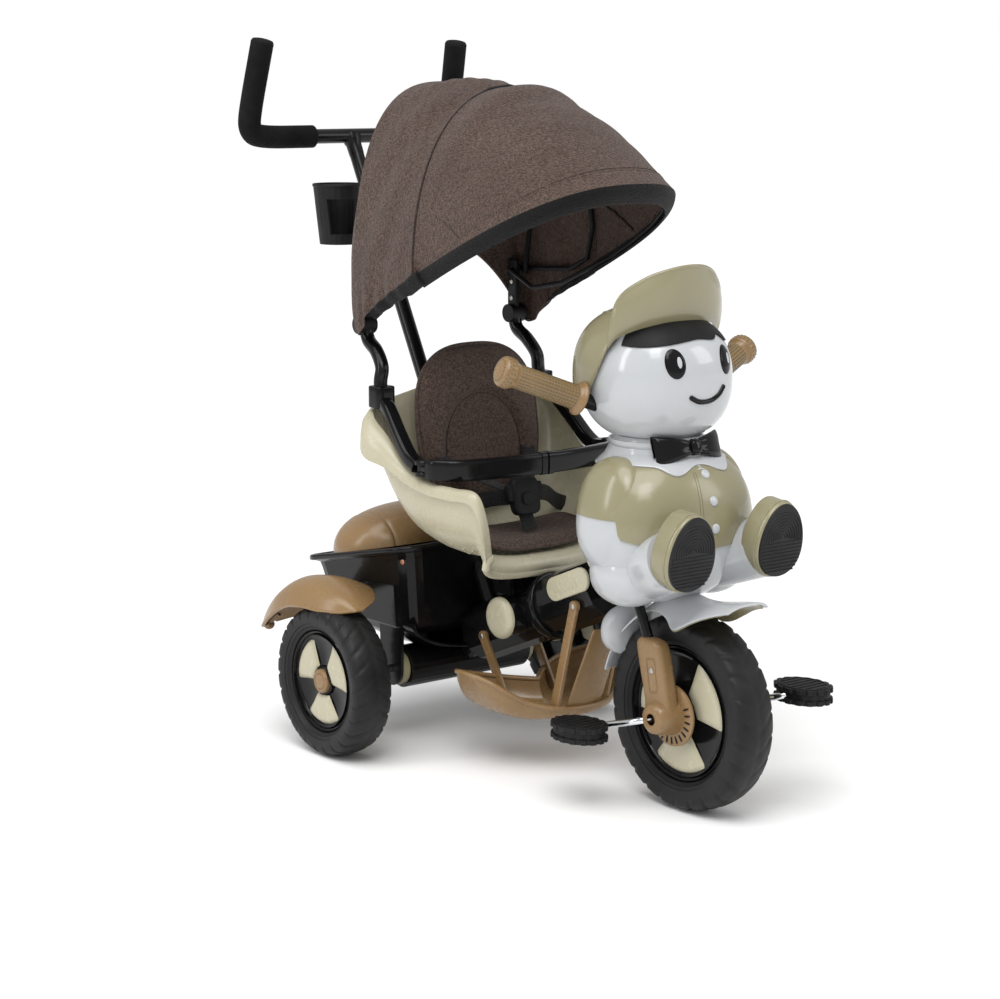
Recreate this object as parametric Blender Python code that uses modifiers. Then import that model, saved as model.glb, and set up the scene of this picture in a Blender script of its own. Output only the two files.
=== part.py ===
"""Child's push tricycle with a canopy, guard bar, footrest, trunk and a toy figure on its steering column.

Metres, +Z up. The rider faces -Y, so the rider's right is -X. The origin is on the floor under the middle.
"""

import math

import bmesh
import bpy
import numpy as np
from mathutils import Matrix, Vector

# Driving dimensions -------------------------------------------------------------------------------
GAP = 0.0004
SIDES = {"right": -1.0, "left": 1.0}

FRONT_AXLE = Vector((0.0, -0.308, 0.1264))
FRONT_TYRE_R = 0.1264
REAR_AXLE = Vector((0.0, 0.175, 0.105))
REAR_TYRE_R = 0.105
REAR_WHEEL_X = 0.2175
TYRE_HALF_WIDTH = 0.0293
AXLE_R = 0.005

STEER_TILT = math.radians(12.0)
STEER_FOOT = Vector((0.0, -0.295, 0.1264))
STEER_UP = Vector((0.0, math.sin(STEER_TILT), math.cos(STEER_TILT)))
STEERER_R = 0.0110

CRANK_X = 0.0735
CRANK_THROW = 0.090
CRANK_DROP = math.radians(-16.0)
PEDAL_X = 0.1120

BEAM_REAR = Vector((0.0, 0.115, 0.1523))
BEAM_FRONT = Vector((0.0, -0.150, 0.262))
BEAM_R = 0.042

PIVOT_Y = 0.219
PIVOT_Z = 0.646
BRACKET_X = 0.130

POLE_FOOT = Vector((0.0, 0.1380, 0.268))
POLE_TOP = Vector((0.0, 0.434, 0.832))
POLE_DIR = (POLE_TOP - POLE_FOOT).normalized()
POLE_R = 0.0105
FOAM_R = 0.0165

GATE_CORNER = Vector((0.154, 0.052, 0.407))

COLOURS = {
    "black_gloss": ((0.012, 0.012, 0.014), 0.25, 0.0),
    "black_matt": ((0.016, 0.016, 0.016), 0.75, 0.0),
    "steel": ((0.75, 0.75, 0.76), 0.18, 1.0),
    "tan": ((0.40, 0.235, 0.105), 0.32, 0.0),
    "cream": ((0.50, 0.46, 0.30), 0.32, 0.0),
    "khaki": ((0.34, 0.31, 0.16), 0.35, 0.0),
    "white": ((0.82, 0.83, 0.85), 0.22, 0.0),
    "fabric": ((0.105, 0.075, 0.06), 0.92, 0.0),
    "trim": ((0.014, 0.014, 0.015), 0.9, 0.0),
}


# Scene and object helpers -------------------------------------------------------------------------
def clear_scene():
    for obj in list(bpy.data.objects):
        bpy.data.objects.remove(obj, do_unlink=True)


def new_collection(name):
    collection = bpy.data.collections.new(name)
    bpy.context.scene.collection.children.link(collection)
    return collection


clear_scene()
PARTS = new_collection("push_tricycle")
CUTTERS = new_collection("cutters")


def material(name):
    found = bpy.data.materials.get(name)
    if found:
        return found
    colour, roughness, metallic = COLOURS[name]
    made = bpy.data.materials.new(name)
    made.use_nodes = True
    shader = made.node_tree.nodes["Principled BSDF"]
    shader.inputs["Base Color"].default_value = (*colour, 1.0)
    shader.inputs["Roughness"].default_value = roughness
    shader.inputs["Metallic"].default_value = metallic
    return made


def add(name, mesh, look, location=(0.0, 0.0, 0.0)):
    """Puts a mesh in the model as one named part."""
    obj = bpy.data.objects.new(name, mesh)
    PARTS.objects.link(obj)
    obj.location = location
    mesh.materials.clear()
    mesh.materials.append(material(look))
    mesh.shade_smooth()
    mesh.set_sharp_from_angle(angle=math.radians(35.0))
    return obj


def mesh_from(bm, name):
    bmesh.ops.recalc_face_normals(bm, faces=bm.faces)
    mesh = bpy.data.meshes.new(name)
    bm.to_mesh(mesh)
    bm.free()
    return mesh


def baked(obj):
    """Turns a helper object into a plain welded mesh in world coordinates, and removes the helper."""
    bpy.context.view_layer.update()
    graph = bpy.context.evaluated_depsgraph_get()
    mesh = bpy.data.meshes.new_from_object(obj.evaluated_get(graph))
    mesh.transform(obj.matrix_world)
    bpy.data.objects.remove(obj, do_unlink=True)
    bm = bmesh.new()
    bm.from_mesh(mesh)
    bmesh.ops.remove_doubles(bm, verts=bm.verts, dist=1e-6)
    bpy.data.meshes.remove(mesh)
    return mesh_from(bm, "baked")


def helper(data):
    obj = bpy.data.objects.new("helper", data)
    CUTTERS.objects.link(obj)
    return obj


def frame_along(direction, up=(0.0, 0.0, 1.0)):
    """Rotation whose local Z runs along a direction, with local X as level as it can be."""
    z_axis = Vector(direction).normalized()
    x_axis = Vector(up).cross(z_axis)
    if x_axis.length < 1e-6:
        x_axis = Vector((1.0, 0.0, 0.0))
    x_axis.normalize()
    y_axis = z_axis.cross(x_axis)
    return Matrix((x_axis, y_axis, z_axis)).transposed().to_4x4()


# Shape helpers: each gives a closed mesh in world coordinates -------------------------------------
def tube(points, radius, sides_level=2, smooth=0):
    """Round bar through points. With smooth, its path is rounded by that many corner cuttings."""
    path = [Vector(point) for point in points]
    for _ in range(smooth):
        cut = [path[0]]
        for a, b in zip(path, path[1:]):
            cut += [a.lerp(b, 0.25), a.lerp(b, 0.75)]
        path = cut + [path[-1]]
    curve = bpy.data.curves.new("tube", "CURVE")
    curve.dimensions = "3D"
    curve.bevel_depth = radius
    curve.bevel_resolution = sides_level
    curve.use_fill_caps = True
    spline = curve.splines.new("POLY")
    spline.points.add(len(path) - 1)
    for point, place in zip(spline.points, path):
        point.co = (*place, 1.0)
    return baked(helper(curve))


def plate(outline, thickness, matrix, bevel=0.0):
    """Flat plate: its outline is in local XY, and its thickness is centred on local Z."""
    curve = bpy.data.curves.new("plate", "CURVE")
    curve.dimensions = "2D"
    curve.fill_mode = "BOTH"
    curve.extrude = thickness / 2.0 - bevel
    curve.bevel_depth = bevel
    curve.bevel_resolution = 0
    spline = curve.splines.new("POLY")
    spline.points.add(len(outline) - 1)
    for point, place in zip(spline.points, outline):
        point.co = (place[0], place[1], 0.0, 1.0)
    spline.use_cyclic_u = True
    obj = helper(curve)
    obj.matrix_world = matrix
    return baked(obj)


def side_plane(x):
    """Local X runs along +Y and local Y along +Z, at this X."""
    turn = Matrix(((0, 0, 1, 0), (1, 0, 0, 0), (0, 1, 0, 0), (0, 0, 0, 1)))
    return Matrix.Translation((x, 0.0, 0.0)) @ turn


def turned(profile, centre, axis, steps=28):
    """Turned solid: the profile lists (radius, height) from the top of the axis down to its bottom."""
    mesh = bpy.data.meshes.new("profile")
    points = [(radius, 0.0, height) for radius, height in profile]
    mesh.from_pydata(points, [(i, i + 1) for i in range(len(points) - 1)], [])
    obj = helper(mesh)
    screw = obj.modifiers.new("Screw", "SCREW")
    screw.steps = steps
    screw.render_steps = steps
    screw.use_merge_vertices = True
    screw.merge_threshold = 1e-6
    obj.matrix_world = Matrix.Translation(centre) @ frame_along(axis)
    return baked(obj)


def rod(start, end, radius, steps=16, bore=0.0):
    """Straight round bar between two points, with a through bore where one is given."""
    start, end = Vector(start), Vector(end)
    length = (end - start).length
    outside = [(radius, length), (radius, 0.0)]
    profile = [(bore, length), *outside, (bore, 0.0)]
    if bore:
        profile.append((bore, length))
    return turned(profile, start, end - start, steps)


def box(low, high, bevel=0.0):
    bm = bmesh.new()
    bmesh.ops.create_cube(bm, size=1.0)
    low, high = Vector(low), Vector(high)
    for vertex in bm.verts:
        vertex.co = [(low[i] + high[i]) / 2.0 + vertex.co[i] * (high[i] - low[i]) for i in range(3)]
    if bevel:
        bmesh.ops.bevel(bm, geom=bm.edges, offset=bevel, segments=2, profile=0.5, affect="EDGES")
    return mesh_from(bm, "box")


def blob(centre, radii, power=2.0, steps=(20, 12), plan_power=None):
    """Rounded solid: an ellipsoid for a power of 2, boxier above that, with its own power for its plan."""
    bm = bmesh.new()
    bmesh.ops.create_uvsphere(bm, u_segments=steps[0], v_segments=steps[1], radius=1.0)
    plan_power = plan_power or power
    for vertex in bm.verts:
        x, y, z = (abs(c) for c in vertex.co)
        plan = (x**plan_power + y**plan_power) ** (power / plan_power)
        size = (plan + z**power) ** (1.0 / power)
        vertex.co = Vector(centre) + Vector([vertex.co[i] / size * radii[i] for i in range(3)])
    return mesh_from(bm, "blob")


def sheet(rows, thickness, offset=0.0):
    """Shell of even thickness on a grid of points, given as rows of equal length."""
    rows = np.asarray(rows, float)
    count, across = rows.shape[:2]
    faces = [
        (i * across + j, i * across + j + 1, (i + 1) * across + j + 1, (i + 1) * across + j)
        for i in range(count - 1)
        for j in range(across - 1)
    ]
    mesh = bpy.data.meshes.new("sheet")
    mesh.from_pydata(rows.reshape(-1, 3).tolist(), [], faces)
    obj = helper(mesh)
    solidify = obj.modifiers.new("Solidify", "SOLIDIFY")
    solidify.thickness = thickness
    solidify.offset = offset
    return baked(obj)


def combined(base, others, operation):
    """Joins meshes to a base, or cuts them from it, one after another."""
    obj = helper(base)
    for other in others:
        tool = helper(other)
        tool.hide_render = True
        tool.display_type = "WIRE"
        boolean = obj.modifiers.new("Boolean", "BOOLEAN")
        boolean.operation = operation
        boolean.object = tool
        boolean.solver = "EXACT"
    tools = [modifier.object for modifier in obj.modifiers]
    made = baked(obj)
    for tool in tools:
        bpy.data.objects.remove(tool, do_unlink=True)
    return made


def joined(base, *others):
    return combined(base, others, "UNION")


def cut(base, *others):
    return combined(base, others, "DIFFERENCE")


def both_sides(make):
    """Calls make(side name, sign) for the right and the left side."""
    return [make(side, sign) for side, sign in SIDES.items()]


def on_joint(objects, name, place):
    """Parents objects to an empty that stands on their joint's axis."""
    empty = bpy.data.objects.new(name, None)
    PARTS.objects.link(empty)
    empty.location = place
    bpy.context.view_layer.update()
    for obj in objects:
        obj.parent = empty
        obj.matrix_parent_inverse = empty.matrix_world.inverted()
    return empty


def arch_point(angle, width, height, power):
    """Point of a rounded arch, from one foot at 0 over the top to the other foot at pi."""
    across, rise = math.cos(angle), math.sin(angle)
    size = (abs(across) ** power + rise**power) ** (1.0 / power)
    return width * across / size, height * rise / size


def steer_point(height):
    """Point on the steering axis at this height above the floor."""
    return STEER_FOOT + STEER_UP * ((height - STEER_FOOT.z) / STEER_UP.z)


# Frame --------------------------------------------------------------------------------------------
def make_frame():
    """Main beam with its head tube and cross boss, the axle housing and the axle."""
    along = (BEAM_FRONT - BEAM_REAR).normalized()
    body = tube([BEAM_REAR, BEAM_REAR + along * 0.12, BEAM_FRONT], BEAM_R, 4)
    neck_end = steer_point(0.312)
    neck = tube([BEAM_FRONT - along * 0.05 + Vector((0, 0, 0.008)), neck_end], 0.017)
    head = rod(steer_point(0.288), steer_point(0.345), 0.019)
    boss = rod((-0.0625, 0.001, 0.2), (0.0625, 0.001, 0.2), 0.026, 20)
    collar = rod(BEAM_FRONT - along * 0.128, BEAM_FRONT - along * 0.116, BEAM_R + 0.004, 20)
    root = rod((0.0, REAR_AXLE.y, REAR_AXLE.z), BEAM_REAR + along * 0.03, 0.016)
    steerer_bore = rod(steer_point(0.27), steer_point(0.36), STEERER_R + GAP)
    beam = cut(joined(body, neck, head, boss, collar, root), steerer_bore, rod_cut(REAR_AXLE, 0.08, 0.0305))
    socket_seat = POLE_FOOT - POLE_DIR * 0.12
    beam = cut(beam, rod(socket_seat, POLE_TOP, 0.016 + GAP))
    add("main_beam", beam, "black_gloss")

    core = rod((-0.104, *REAR_AXLE.yz), (0.104, *REAR_AXLE.yz), 0.030 - GAP, 24)
    rings = [rod((s * 0.100, *REAR_AXLE.yz), (s * 0.116, *REAR_AXLE.yz), 0.0225, 24) for s in SIDES.values()]
    add("rear_axle_housing", cut(joined(core, *rings), rod_cut(REAR_AXLE, 0.2, AXLE_R + GAP)), "black_gloss")
    add("rear_axle", rod((-0.236, *REAR_AXLE.yz), (0.236, *REAR_AXLE.yz), AXLE_R, 12), "steel")

    def side_trim(side, sign):
        cap_at = Vector((sign * (0.0625 + GAP), 0.001, 0.2))
        cap = [(0.0, 0.007), (0.022, 0.0065), (0.028, 0.003), (0.028, 0.0), (0.0, 0.0)]
        add(f"beam_cap_{side}", turned(cap, cap_at, (sign, 0, 0), 24), "cream")
        slope = math.atan2(along.z, -along.y)
        centre = Vector((0.0, -0.118, 0.264))
        outline = []
        for i in range(16):
            angle = math.tau * i / 16
            u = 0.026 * math.copysign(1, math.cos(angle)) + 0.011 * math.cos(angle)
            outline.append((u, 0.011 * math.sin(angle)))
        turn = Matrix.Rotation(-slope, 4, "Z")
        at = side_plane(sign * (BEAM_R + 0.0035)) @ Matrix.Translation((centre.y, centre.z, 0.0)) @ turn
        add(f"beam_tag_{side}", plate(outline, 0.005, at), "cream")

    both_sides(side_trim)


def rod_cut(centre, half_length, radius):
    """Cutter along X through a centre."""
    reach = Vector((half_length, 0.0, 0.0))
    return rod(Vector(centre) - reach, Vector(centre) + reach, radius, 20)


# Wheels -------------------------------------------------------------------------------------------
def tyre_profile(outer, seat):
    half = TYRE_HALF_WIDTH
    side = [(seat, half * 0.72), (seat + 0.010, half), (outer - 0.011, half), (outer - 0.002, half * 0.6)]
    return [*side, (outer, 0.0), *[(r, -x) for r, x in reversed(side)], side[0]]


def rim_profile(seat, hub, bore, outer_end, inner_end):
    """Rim from the hub's outer end: dished web, flange, and back to the bore on the inner side."""
    edge = TYRE_HALF_WIDTH * 0.72 - 0.001
    return [
        (0.0, outer_end),
        (hub * 0.8, outer_end),
        (hub, outer_end - 0.003),
        (hub + 0.004, 0.010),
        (seat - 0.010, 0.013),
        (seat - 0.007, edge),
        (seat, edge),
        (seat, -edge),
        (seat - 0.007, -edge),
        (seat - 0.010, -0.008),
        (hub + 0.004, -0.008),
        (hub, -inner_end),
        (bore, -inner_end),
        (bore, outer_end - 0.010),
        (0.0, outer_end - 0.010),
    ]


def make_rear_wheel(side, sign):
    centre = Vector((sign * REAR_WHEEL_X, REAR_AXLE.y, REAR_AXLE.z))
    axis = (sign, 0.0, 0.0)
    tyre = add(f"rear_tyre_{side}", turned(tyre_profile(REAR_TYRE_R, 0.067), centre, axis, 32), "black_matt")
    rim_mesh = turned(rim_profile(0.067 - GAP, 0.019, AXLE_R + GAP, 0.0295, 0.026), centre, axis, 32)
    rim = add(f"rear_rim_{side}", rim_mesh, "black_gloss")
    on_joint([tyre, rim], f"rear_wheel_{side}_axis", centre)


def make_front_wheel():
    axis = (1.0, 0.0, 0.0)
    tyre = add("front_tyre", turned(tyre_profile(FRONT_TYRE_R, 0.084), FRONT_AXLE, axis, 36), "black_matt")
    seat, edge, hub = 0.084 - GAP, TYRE_HALF_WIDTH * 0.72 - 0.001, 0.024
    bore = AXLE_R + GAP
    half = [(bore, 0.0275), (hub, 0.0275), (hub + 0.004, 0.009), (seat - 0.010, 0.009), (seat - 0.007, edge)]
    profile = [*half, (seat, edge), (seat, -edge), *[(r, -x) for r, x in reversed(half)], half[0]]
    rim = add("front_rim", turned(profile, FRONT_AXLE, axis, 36), "black_gloss")

    def pin(sign):
        swing = Vector((0.0, math.cos(CRANK_DROP), math.sin(CRANK_DROP))) * CRANK_THROW
        return FRONT_AXLE + (swing if sign < 0 else -swing)

    near, far = pin(-1.0), pin(1.0)
    path = [
        (-0.1300, *near.yz),
        (-CRANK_X, *near.yz),
        (-CRANK_X, *FRONT_AXLE.yz),
        (CRANK_X, *FRONT_AXLE.yz),
        (CRANK_X, *far.yz),
        (0.1300, *far.yz),
    ]
    crank = add("crank_axle", tube(path, 0.0045, 3), "steel")
    on_joint([tyre, rim, crank], "front_wheel_axis", FRONT_AXLE)

    def pedal(side, sign):
        centre = Vector((sign * PEDAL_X, *pin(sign).yz))
        outline = [
            (0.042 * math.cos(math.tau * i / 16), 0.0325 * math.sin(math.tau * i / 16)) for i in range(16)
        ]
        level = Matrix.Translation(centre) @ Matrix.Rotation(math.radians(90), 4, "Z")
        body = plate(outline, 0.020, level, 0.003)
        spindle_room = rod_cut(centre - Vector((sign * 0.02, 0, 0)), 0.0385, 0.0052)
        obj = add(f"pedal_{side}", cut(body, spindle_room), "black_matt")
        on_joint([obj], f"pedal_{side}_axis", centre)

    both_sides(pedal)


# Steering column and its toy figure ---------------------------------------------------------------
BODY_CENTRE = Vector((0.0, -0.256, 0.362))
BODY_RADII = Vector((0.117, 0.086, 0.100))
HEAD_CENTRE = Vector((0.0, -0.235, 0.545))
HEAD_RADII = Vector((0.095, 0.094, 0.078))
SHOE_AT = Vector((0.0, -0.371, 0.348))
SHOE_TURN = math.radians(98.0)
GRIP_START = 0.018
BRIM_STAGES = [
    # the upturned brim from its root in the crown to its edge, each from the side to the middle
    [(0.097, -0.214, 0.588), (0.090, -0.232, 0.606), (0.064, -0.246, 0.620), (0.033, -0.252, 0.629), (0, -0.254, 0.6315)],
    [(0.098, -0.218, 0.590), (0.088, -0.246, 0.610), (0.062, -0.268, 0.624), (0.032, -0.280, 0.633), (0, -0.284, 0.6355)],
    [(0.099, -0.220, 0.595), (0.088, -0.252, 0.632), (0.061, -0.275, 0.653), (0.031, -0.290, 0.664), (0, -0.296, 0.667)],
    [(0.100, -0.221, 0.600), (0.088, -0.252, 0.648), (0.060, -0.274, 0.671), (0.030, -0.292, 0.684), (0, -0.300, 0.688)],
]


def fork_leg(sign, extra=0.0):
    path = [(sign * 0.046, -0.252, 0.2760), (sign * 0.047, -0.2640, 0.252), (sign * 0.047, -0.291, 0.197)]
    return tube(path, 0.0065 + extra)


def make_fork():
    crown = box((-0.052, -0.018, -0.006), (0.052, 0.018, 0.006), 0.003)
    crown.transform(Matrix.Translation(steer_point(0.2755)) @ frame_along(STEER_UP))
    steerer = rod(steer_point(0.2755), steer_point(0.478), STEERER_R)
    legs = [fork_leg(sign) for sign in SIDES.values()]
    fork = add("fork", joined(crown, steerer, *legs), "black_gloss")
    pieces = [fork]

    def cover(side, sign):
        outline = [
            (-0.300, 0.222),
            (-0.268, 0.226),
            (-0.264, 0.214),
            (-0.276, 0.160),
            (-0.286, 0.120),
            (-0.330, 0.120),
            (-0.322, 0.165),
            (-0.312, 0.205),
        ]
        slab = plate(outline, 0.022, side_plane(sign * 0.0465), 0.003)
        boss = rod((sign * 0.034, *FRONT_AXLE.yz), (sign * 0.068, *FRONT_AXLE.yz), 0.024, 24)
        disc = rod((sign * 0.0310, *FRONT_AXLE.yz), (sign * 0.0355, *FRONT_AXLE.yz), 0.040, 28)
        solid = cut(joined(slab, boss, disc), rod_cut(FRONT_AXLE, 0.08, 0.0055), fork_leg(sign, GAP))
        return add(f"fork_cover_{side}", solid, "tan")

    pieces += both_sides(cover)
    rows = []
    for i in range(14):
        t = i / 13
        angle = math.radians(15.0 + 109.0 * t)
        flare = max(0.0, (t - 0.70) / 0.30)
        radius = 0.134 + 0.050 * flare**1.6
        half = 0.036 + 0.015 * max(0.0, min(1.0, (t - 0.66) / 0.14)) - 0.016 * max(0.0, t - 0.88) / 0.12
        row = []
        for s in (-1.0, -0.7, 0.0, 0.7, 1.0):
            r = radius - 0.006 * max(0.0, abs(s) - 0.4) / 0.6 * (t > 0.66)
            row.append((s * half, FRONT_AXLE.y + r * math.cos(angle), FRONT_AXLE.z + r * math.sin(angle)))
        rows.append(row)
    pieces.append(add("mudguard", sheet(rows, 0.003, 1.0), "white"))
    return pieces


def handlebar_path():
    half = [(0.0, -0.2175, 0.5050), (0.060, -0.2150, 0.5090), (0.085, -0.2110, 0.5160), (0.203, -0.1815, 0.5620)]
    return [(-x, y, z) for x, y, z in reversed(half[1:])] + half


def make_handlebar():
    bar = tube(handlebar_path(), 0.0095, 3)
    clamp = rod(steer_point(0.4790), steer_point(0.500), 0.0150)
    stem = add("handlebar", joined(bar, clamp), "black_gloss")
    outer = Vector(handlebar_path()[-1])
    inner = Vector(handlebar_path()[-2])
    along = (outer - inner).normalized()
    start = inner + along * GRIP_START
    length = (outer - start).length

    def grip(side, sign):
        mirror = Vector((sign, 1.0, 1.0))
        bore = 0.0095 + GAP
        profile = [
            (0.0, length + 0.006),
            (0.016, length + 0.005),
            (0.0195, length - 0.002),
            (0.0185, length - 0.008),
            (0.0145, length - 0.016),
            (0.0145, 0.010),
            (0.021, 0.006),
            (0.021, 0.0),
            (bore, 0.0),
            (bore, length + GAP),
            (0.0, length + GAP),
        ]
        return add(f"grip_{side}", turned(profile, start * mirror, along * mirror, 20), "tan")

    return [stem, *both_sides(grip)]


def flange_room(sign):
    """Cutter that clears a grip's inner flange."""
    inner, outer = Vector(handlebar_path()[-2]), Vector(handlebar_path()[-1])
    along = (outer - inner).normalized()
    mirror = Vector((sign, 1.0, 1.0))
    start = (inner + along * (GRIP_START - 0.0005)) * mirror
    return rod(start, start + along * mirror * 0.03, 0.0215, 20)


def make_figure():
    """Body round the head tube, open at the back for the beam, and a head that the handlebar runs through."""
    body = blob(BODY_CENTRE, BODY_RADII, 2.25, (24, 14))
    neck = rod((0.0, -0.235, 0.43), (0.0, -0.235, 0.472), 0.055, 20)
    legs = []
    for sign in SIDES.values():
        hip = Vector((sign * 0.058, -0.285, 0.312))
        legs.append(tube([hip, (sign * 0.072, -0.3460, 0.334)], 0.031, 3))
    outside = joined(body, neck, *legs)
    well = rod(steer_point(0.20), steer_point(0.4785), 0.0240)
    crown_room = box((-0.075, -0.32, 0.22), (0.075, -0.215, 0.2885))
    slot = [(0.0, 0.036), (0.083, -0.105), (0.116, -0.20), (-0.116, -0.20), (-0.083, -0.105)]
    wedge = plate([(x, -y) for x, y in slot], 0.125, Matrix.Translation(steer_point(0.285)))
    shoe_room = box((-0.15, -0.08, -0.0175), (0.15, 0.08, 0.08))
    shoe_room.transform(Matrix.Translation(SHOE_AT) @ Matrix.Rotation(SHOE_TURN, 4, "X"))
    body = add("figure_body", cut(outside, well, crown_room, wedge, shoe_room), "white")

    level = box((-0.2, -0.4, 0.40), (0.2, 0.0, 0.4725))
    bar_room = tube(handlebar_path(), 0.0095 + GAP, 3)
    stem_room = rod(steer_point(0.44), steer_point(0.503), 0.0155)
    flanges = [flange_room(sign) for sign in SIDES.values()]
    head = cut(blob(HEAD_CENTRE, HEAD_RADII, 2.2, (24, 14)), stem_room, bar_room, level, *flanges)
    head = add("figure_head", head, "white")

    crown_centre = HEAD_CENTRE + Vector((0, 0.006, 0.004))
    crown_shell = blob(crown_centre, HEAD_RADII + Vector((0.006, 0.006, 0.007)), 2.2, (24, 14))
    inner = blob(HEAD_CENTRE, HEAD_RADII + Vector((GAP, GAP, GAP)), 2.2, (24, 14))
    face_plane = Matrix.Translation((0.0, -0.225, 0.560)) @ Matrix.Rotation(math.radians(28.0), 4, "X")
    front_half = box((-0.2, -0.3, -0.3), (0.2, 0.0, 0.3))
    front_half.transform(face_plane)
    below = box((-0.2, -0.3, 0.40), (0.2, 0.0, 0.5270))
    crown = cut(crown_shell, inner, front_half, below)
    rows = []
    for stage in BRIM_STAGES:
        mirrored = [(-x, y, z) for x, y, z in reversed(stage[:-1])]
        rows.append([*stage, *mirrored])
    brim = sheet(rows, 0.004, 0.0)
    brim = cut(brim, blob(HEAD_CENTRE, HEAD_RADII + Vector((GAP, GAP, GAP)), 2.2, (24, 14)))
    bar_room = tube(handlebar_path(), 0.0095 + GAP, 3)
    cap = cut(joined(crown, brim), bar_room, *[flange_room(sign) for sign in SIDES.values()])
    cap = add("figure_cap", cap, "khaki")

    lobes = [(-0.042, -0.016), (-0.042, 0.018), (-0.009, 0.007), (0.009, 0.007), (0.042, 0.018), (0.042, -0.016)]
    outline = [*lobes, (0.009, -0.007), (-0.009, -0.007)]
    face = Matrix.Translation((0.0, -0.3230, 0.4640)) @ Matrix.Rotation(math.radians(90.0 - 30.0), 4, "X")
    tie = plate(outline, 0.014, face, 0.003)
    bow_tie = add("bow_tie", tie, "black_gloss")

    def shoe(side, sign):
        middle = SHOE_AT + Vector((sign * 0.075, 0.0, 0.0))
        outline = []
        for i in range(20):
            angle = math.tau * i / 20
            outline.append((0.0385 * math.cos(angle), 0.049 * math.sin(angle) - 0.004 * math.cos(2 * angle)))
        turn = Matrix.Rotation(SHOE_TURN, 4, "X")
        return add(f"shoe_{side}", plate(outline, 0.034, Matrix.Translation(middle) @ turn, 0.004), "khaki")

    return [body, head, cap, bow_tie, *both_sides(shoe)]


# Seat ---------------------------------------------------------------------------------------------
SEAT_STATIONS = [
    # centre y, centre z, half width, rim y, rim z
    (-0.018, 0.261, 0.120, -0.050, 0.296),
    (-0.024, 0.272, 0.138, -0.064, 0.345),
    (-0.012, 0.282, 0.148, -0.056, 0.384),
    (0.030, 0.280, 0.150, -0.010, 0.386),
    (0.075, 0.284, 0.150, 0.040, 0.387),
    (0.118, 0.300, 0.152, 0.088, 0.401),
    (0.147, 0.335, 0.155, 0.132, 0.438),
    (0.160, 0.390, 0.153, 0.168, 0.462),
    (0.170, 0.440, 0.128, 0.186, 0.476),
    (0.178, 0.492, 0.060, 0.181, 0.494),
]


def seat_point(station, t, lift=0.0):
    """Point of the seat's inner surface: t runs from -1 at one rim to 1 at the other."""
    y, z, width, rim_y, rim_z = station
    phi = abs(t) * math.pi / 2
    across, rise = math.sin(phi), 1.0 - math.cos(phi)
    size = (across**3 + (1.0 - rise) ** 3) ** (1.0 / 3.0)
    share = 1.0 - (1.0 - rise) / size
    return (math.copysign(width * across / size, t), y + (rim_y - y) * share, z + (rim_z - z) * share + lift)


def make_seat():
    ts = [-1.0, -0.85, -0.68, -0.5, -0.25, 0.0, 0.25, 0.5, 0.68, 0.85, 1.0]
    rows = []
    for station in SEAT_STATIONS:
        row = [seat_point(station, t) for t in ts]
        lip = 0.010
        x, y, z = row[0]
        first, last = (x - lip, y + 0.003, z - lip), (-x + lip, y + 0.003, z - lip)
        rows.append([first, *row, last])
    add("seat_shell", sheet(rows, 0.004, 0.0), "cream")

    pad_rows = []
    for y, half in ((-0.008, 0.092), (0.010, 0.100), (0.055, 0.100), (0.086, 0.096)):
        rear_lift = 0.010 * (max(0.0, y) / 0.088) ** 2
        pad_rows.append([(x * half, y, 0.2965 + rear_lift + 0.013 * abs(x) ** 3) for x in (-1.0, -0.5, 0.0, 0.5, 1.0)])
    add("seat_pad", sheet(pad_rows, 0.018, 0.0), "fabric")

    outline = []
    for i in range(24):
        angle = math.tau * i / 24
        x, z = arch_point(abs(math.remainder(angle, math.tau)), 1.0, 1.0, 3.4)
        outline.append((0.104 * x, 0.108 * z * (1 if math.sin(angle) >= 0 else -1)))
    lean = Matrix.Translation((0.0, 0.1330, 0.4470)) @ Matrix.Rotation(math.radians(90.0 - 8.0), 4, "X")
    add("seat_back_pad", plate(outline, 0.026, lean, 0.006), "fabric")


def make_harness():
    """Two shoulder straps, a crotch strap and the buckle where they meet."""
    buckle_at = Vector((0.0, 0.034, 0.356))
    buckle = box((-0.022, -0.008, -0.026), (0.022, 0.008, 0.026), 0.004)
    buckle.transform(Matrix.Translation(buckle_at) @ Matrix.Rotation(math.radians(-12.0), 4, "X"))
    straps = []
    for sign in SIDES.values():
        path = [
            Vector((sign * 0.045, 0.1220, 0.500)),
            Vector((sign * 0.043, 0.1100, 0.440)),
            Vector((sign * 0.014, 0.0400, 0.372)),
        ]
        straps.append(ribbon(path, 0.022, 0.003))
    crotch = ribbon([(0.0, 0.034, 0.345), (0.0, 0.022, 0.3180), (0.0, 0.012, 0.3110)], 0.024, 0.003)
    straps.append(crotch)
    add("harness", joined(buckle, *straps), "black_matt")


def ribbon(path, width, thickness):
    """Flat strap whose width lies along X."""
    rows = [[(p[0] + s * width / 2, p[1], p[2]) for s in (-1.0, 1.0)] for p in path]
    return sheet(rows, thickness, 0.0)


def make_seat_bracket():
    """Saddle block between the beam and the seat, with a cheek and a bolt end on either side."""
    cheeks = [box(*sorted_corners(s * 0.0440, s * 0.0500, -0.002, 0.034, 0.2290, 0.2700)) for s in SIDES.values()]
    saddle = box((-0.052, -0.004, 0.2620), (0.052, 0.038, 0.2775))
    block = box((-0.030, 0.000, 0.2150), (0.030, 0.032, 0.2700))
    bolt = rod((-0.058, 0.016, 0.2480), (0.058, 0.016, 0.2480), 0.004)
    bracket = cut(joined(saddle, block, *cheeks, bolt), tube([BEAM_REAR, BEAM_FRONT], BEAM_R + GAP, 4))
    add("seat_bracket", bracket, "black_gloss")


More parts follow.
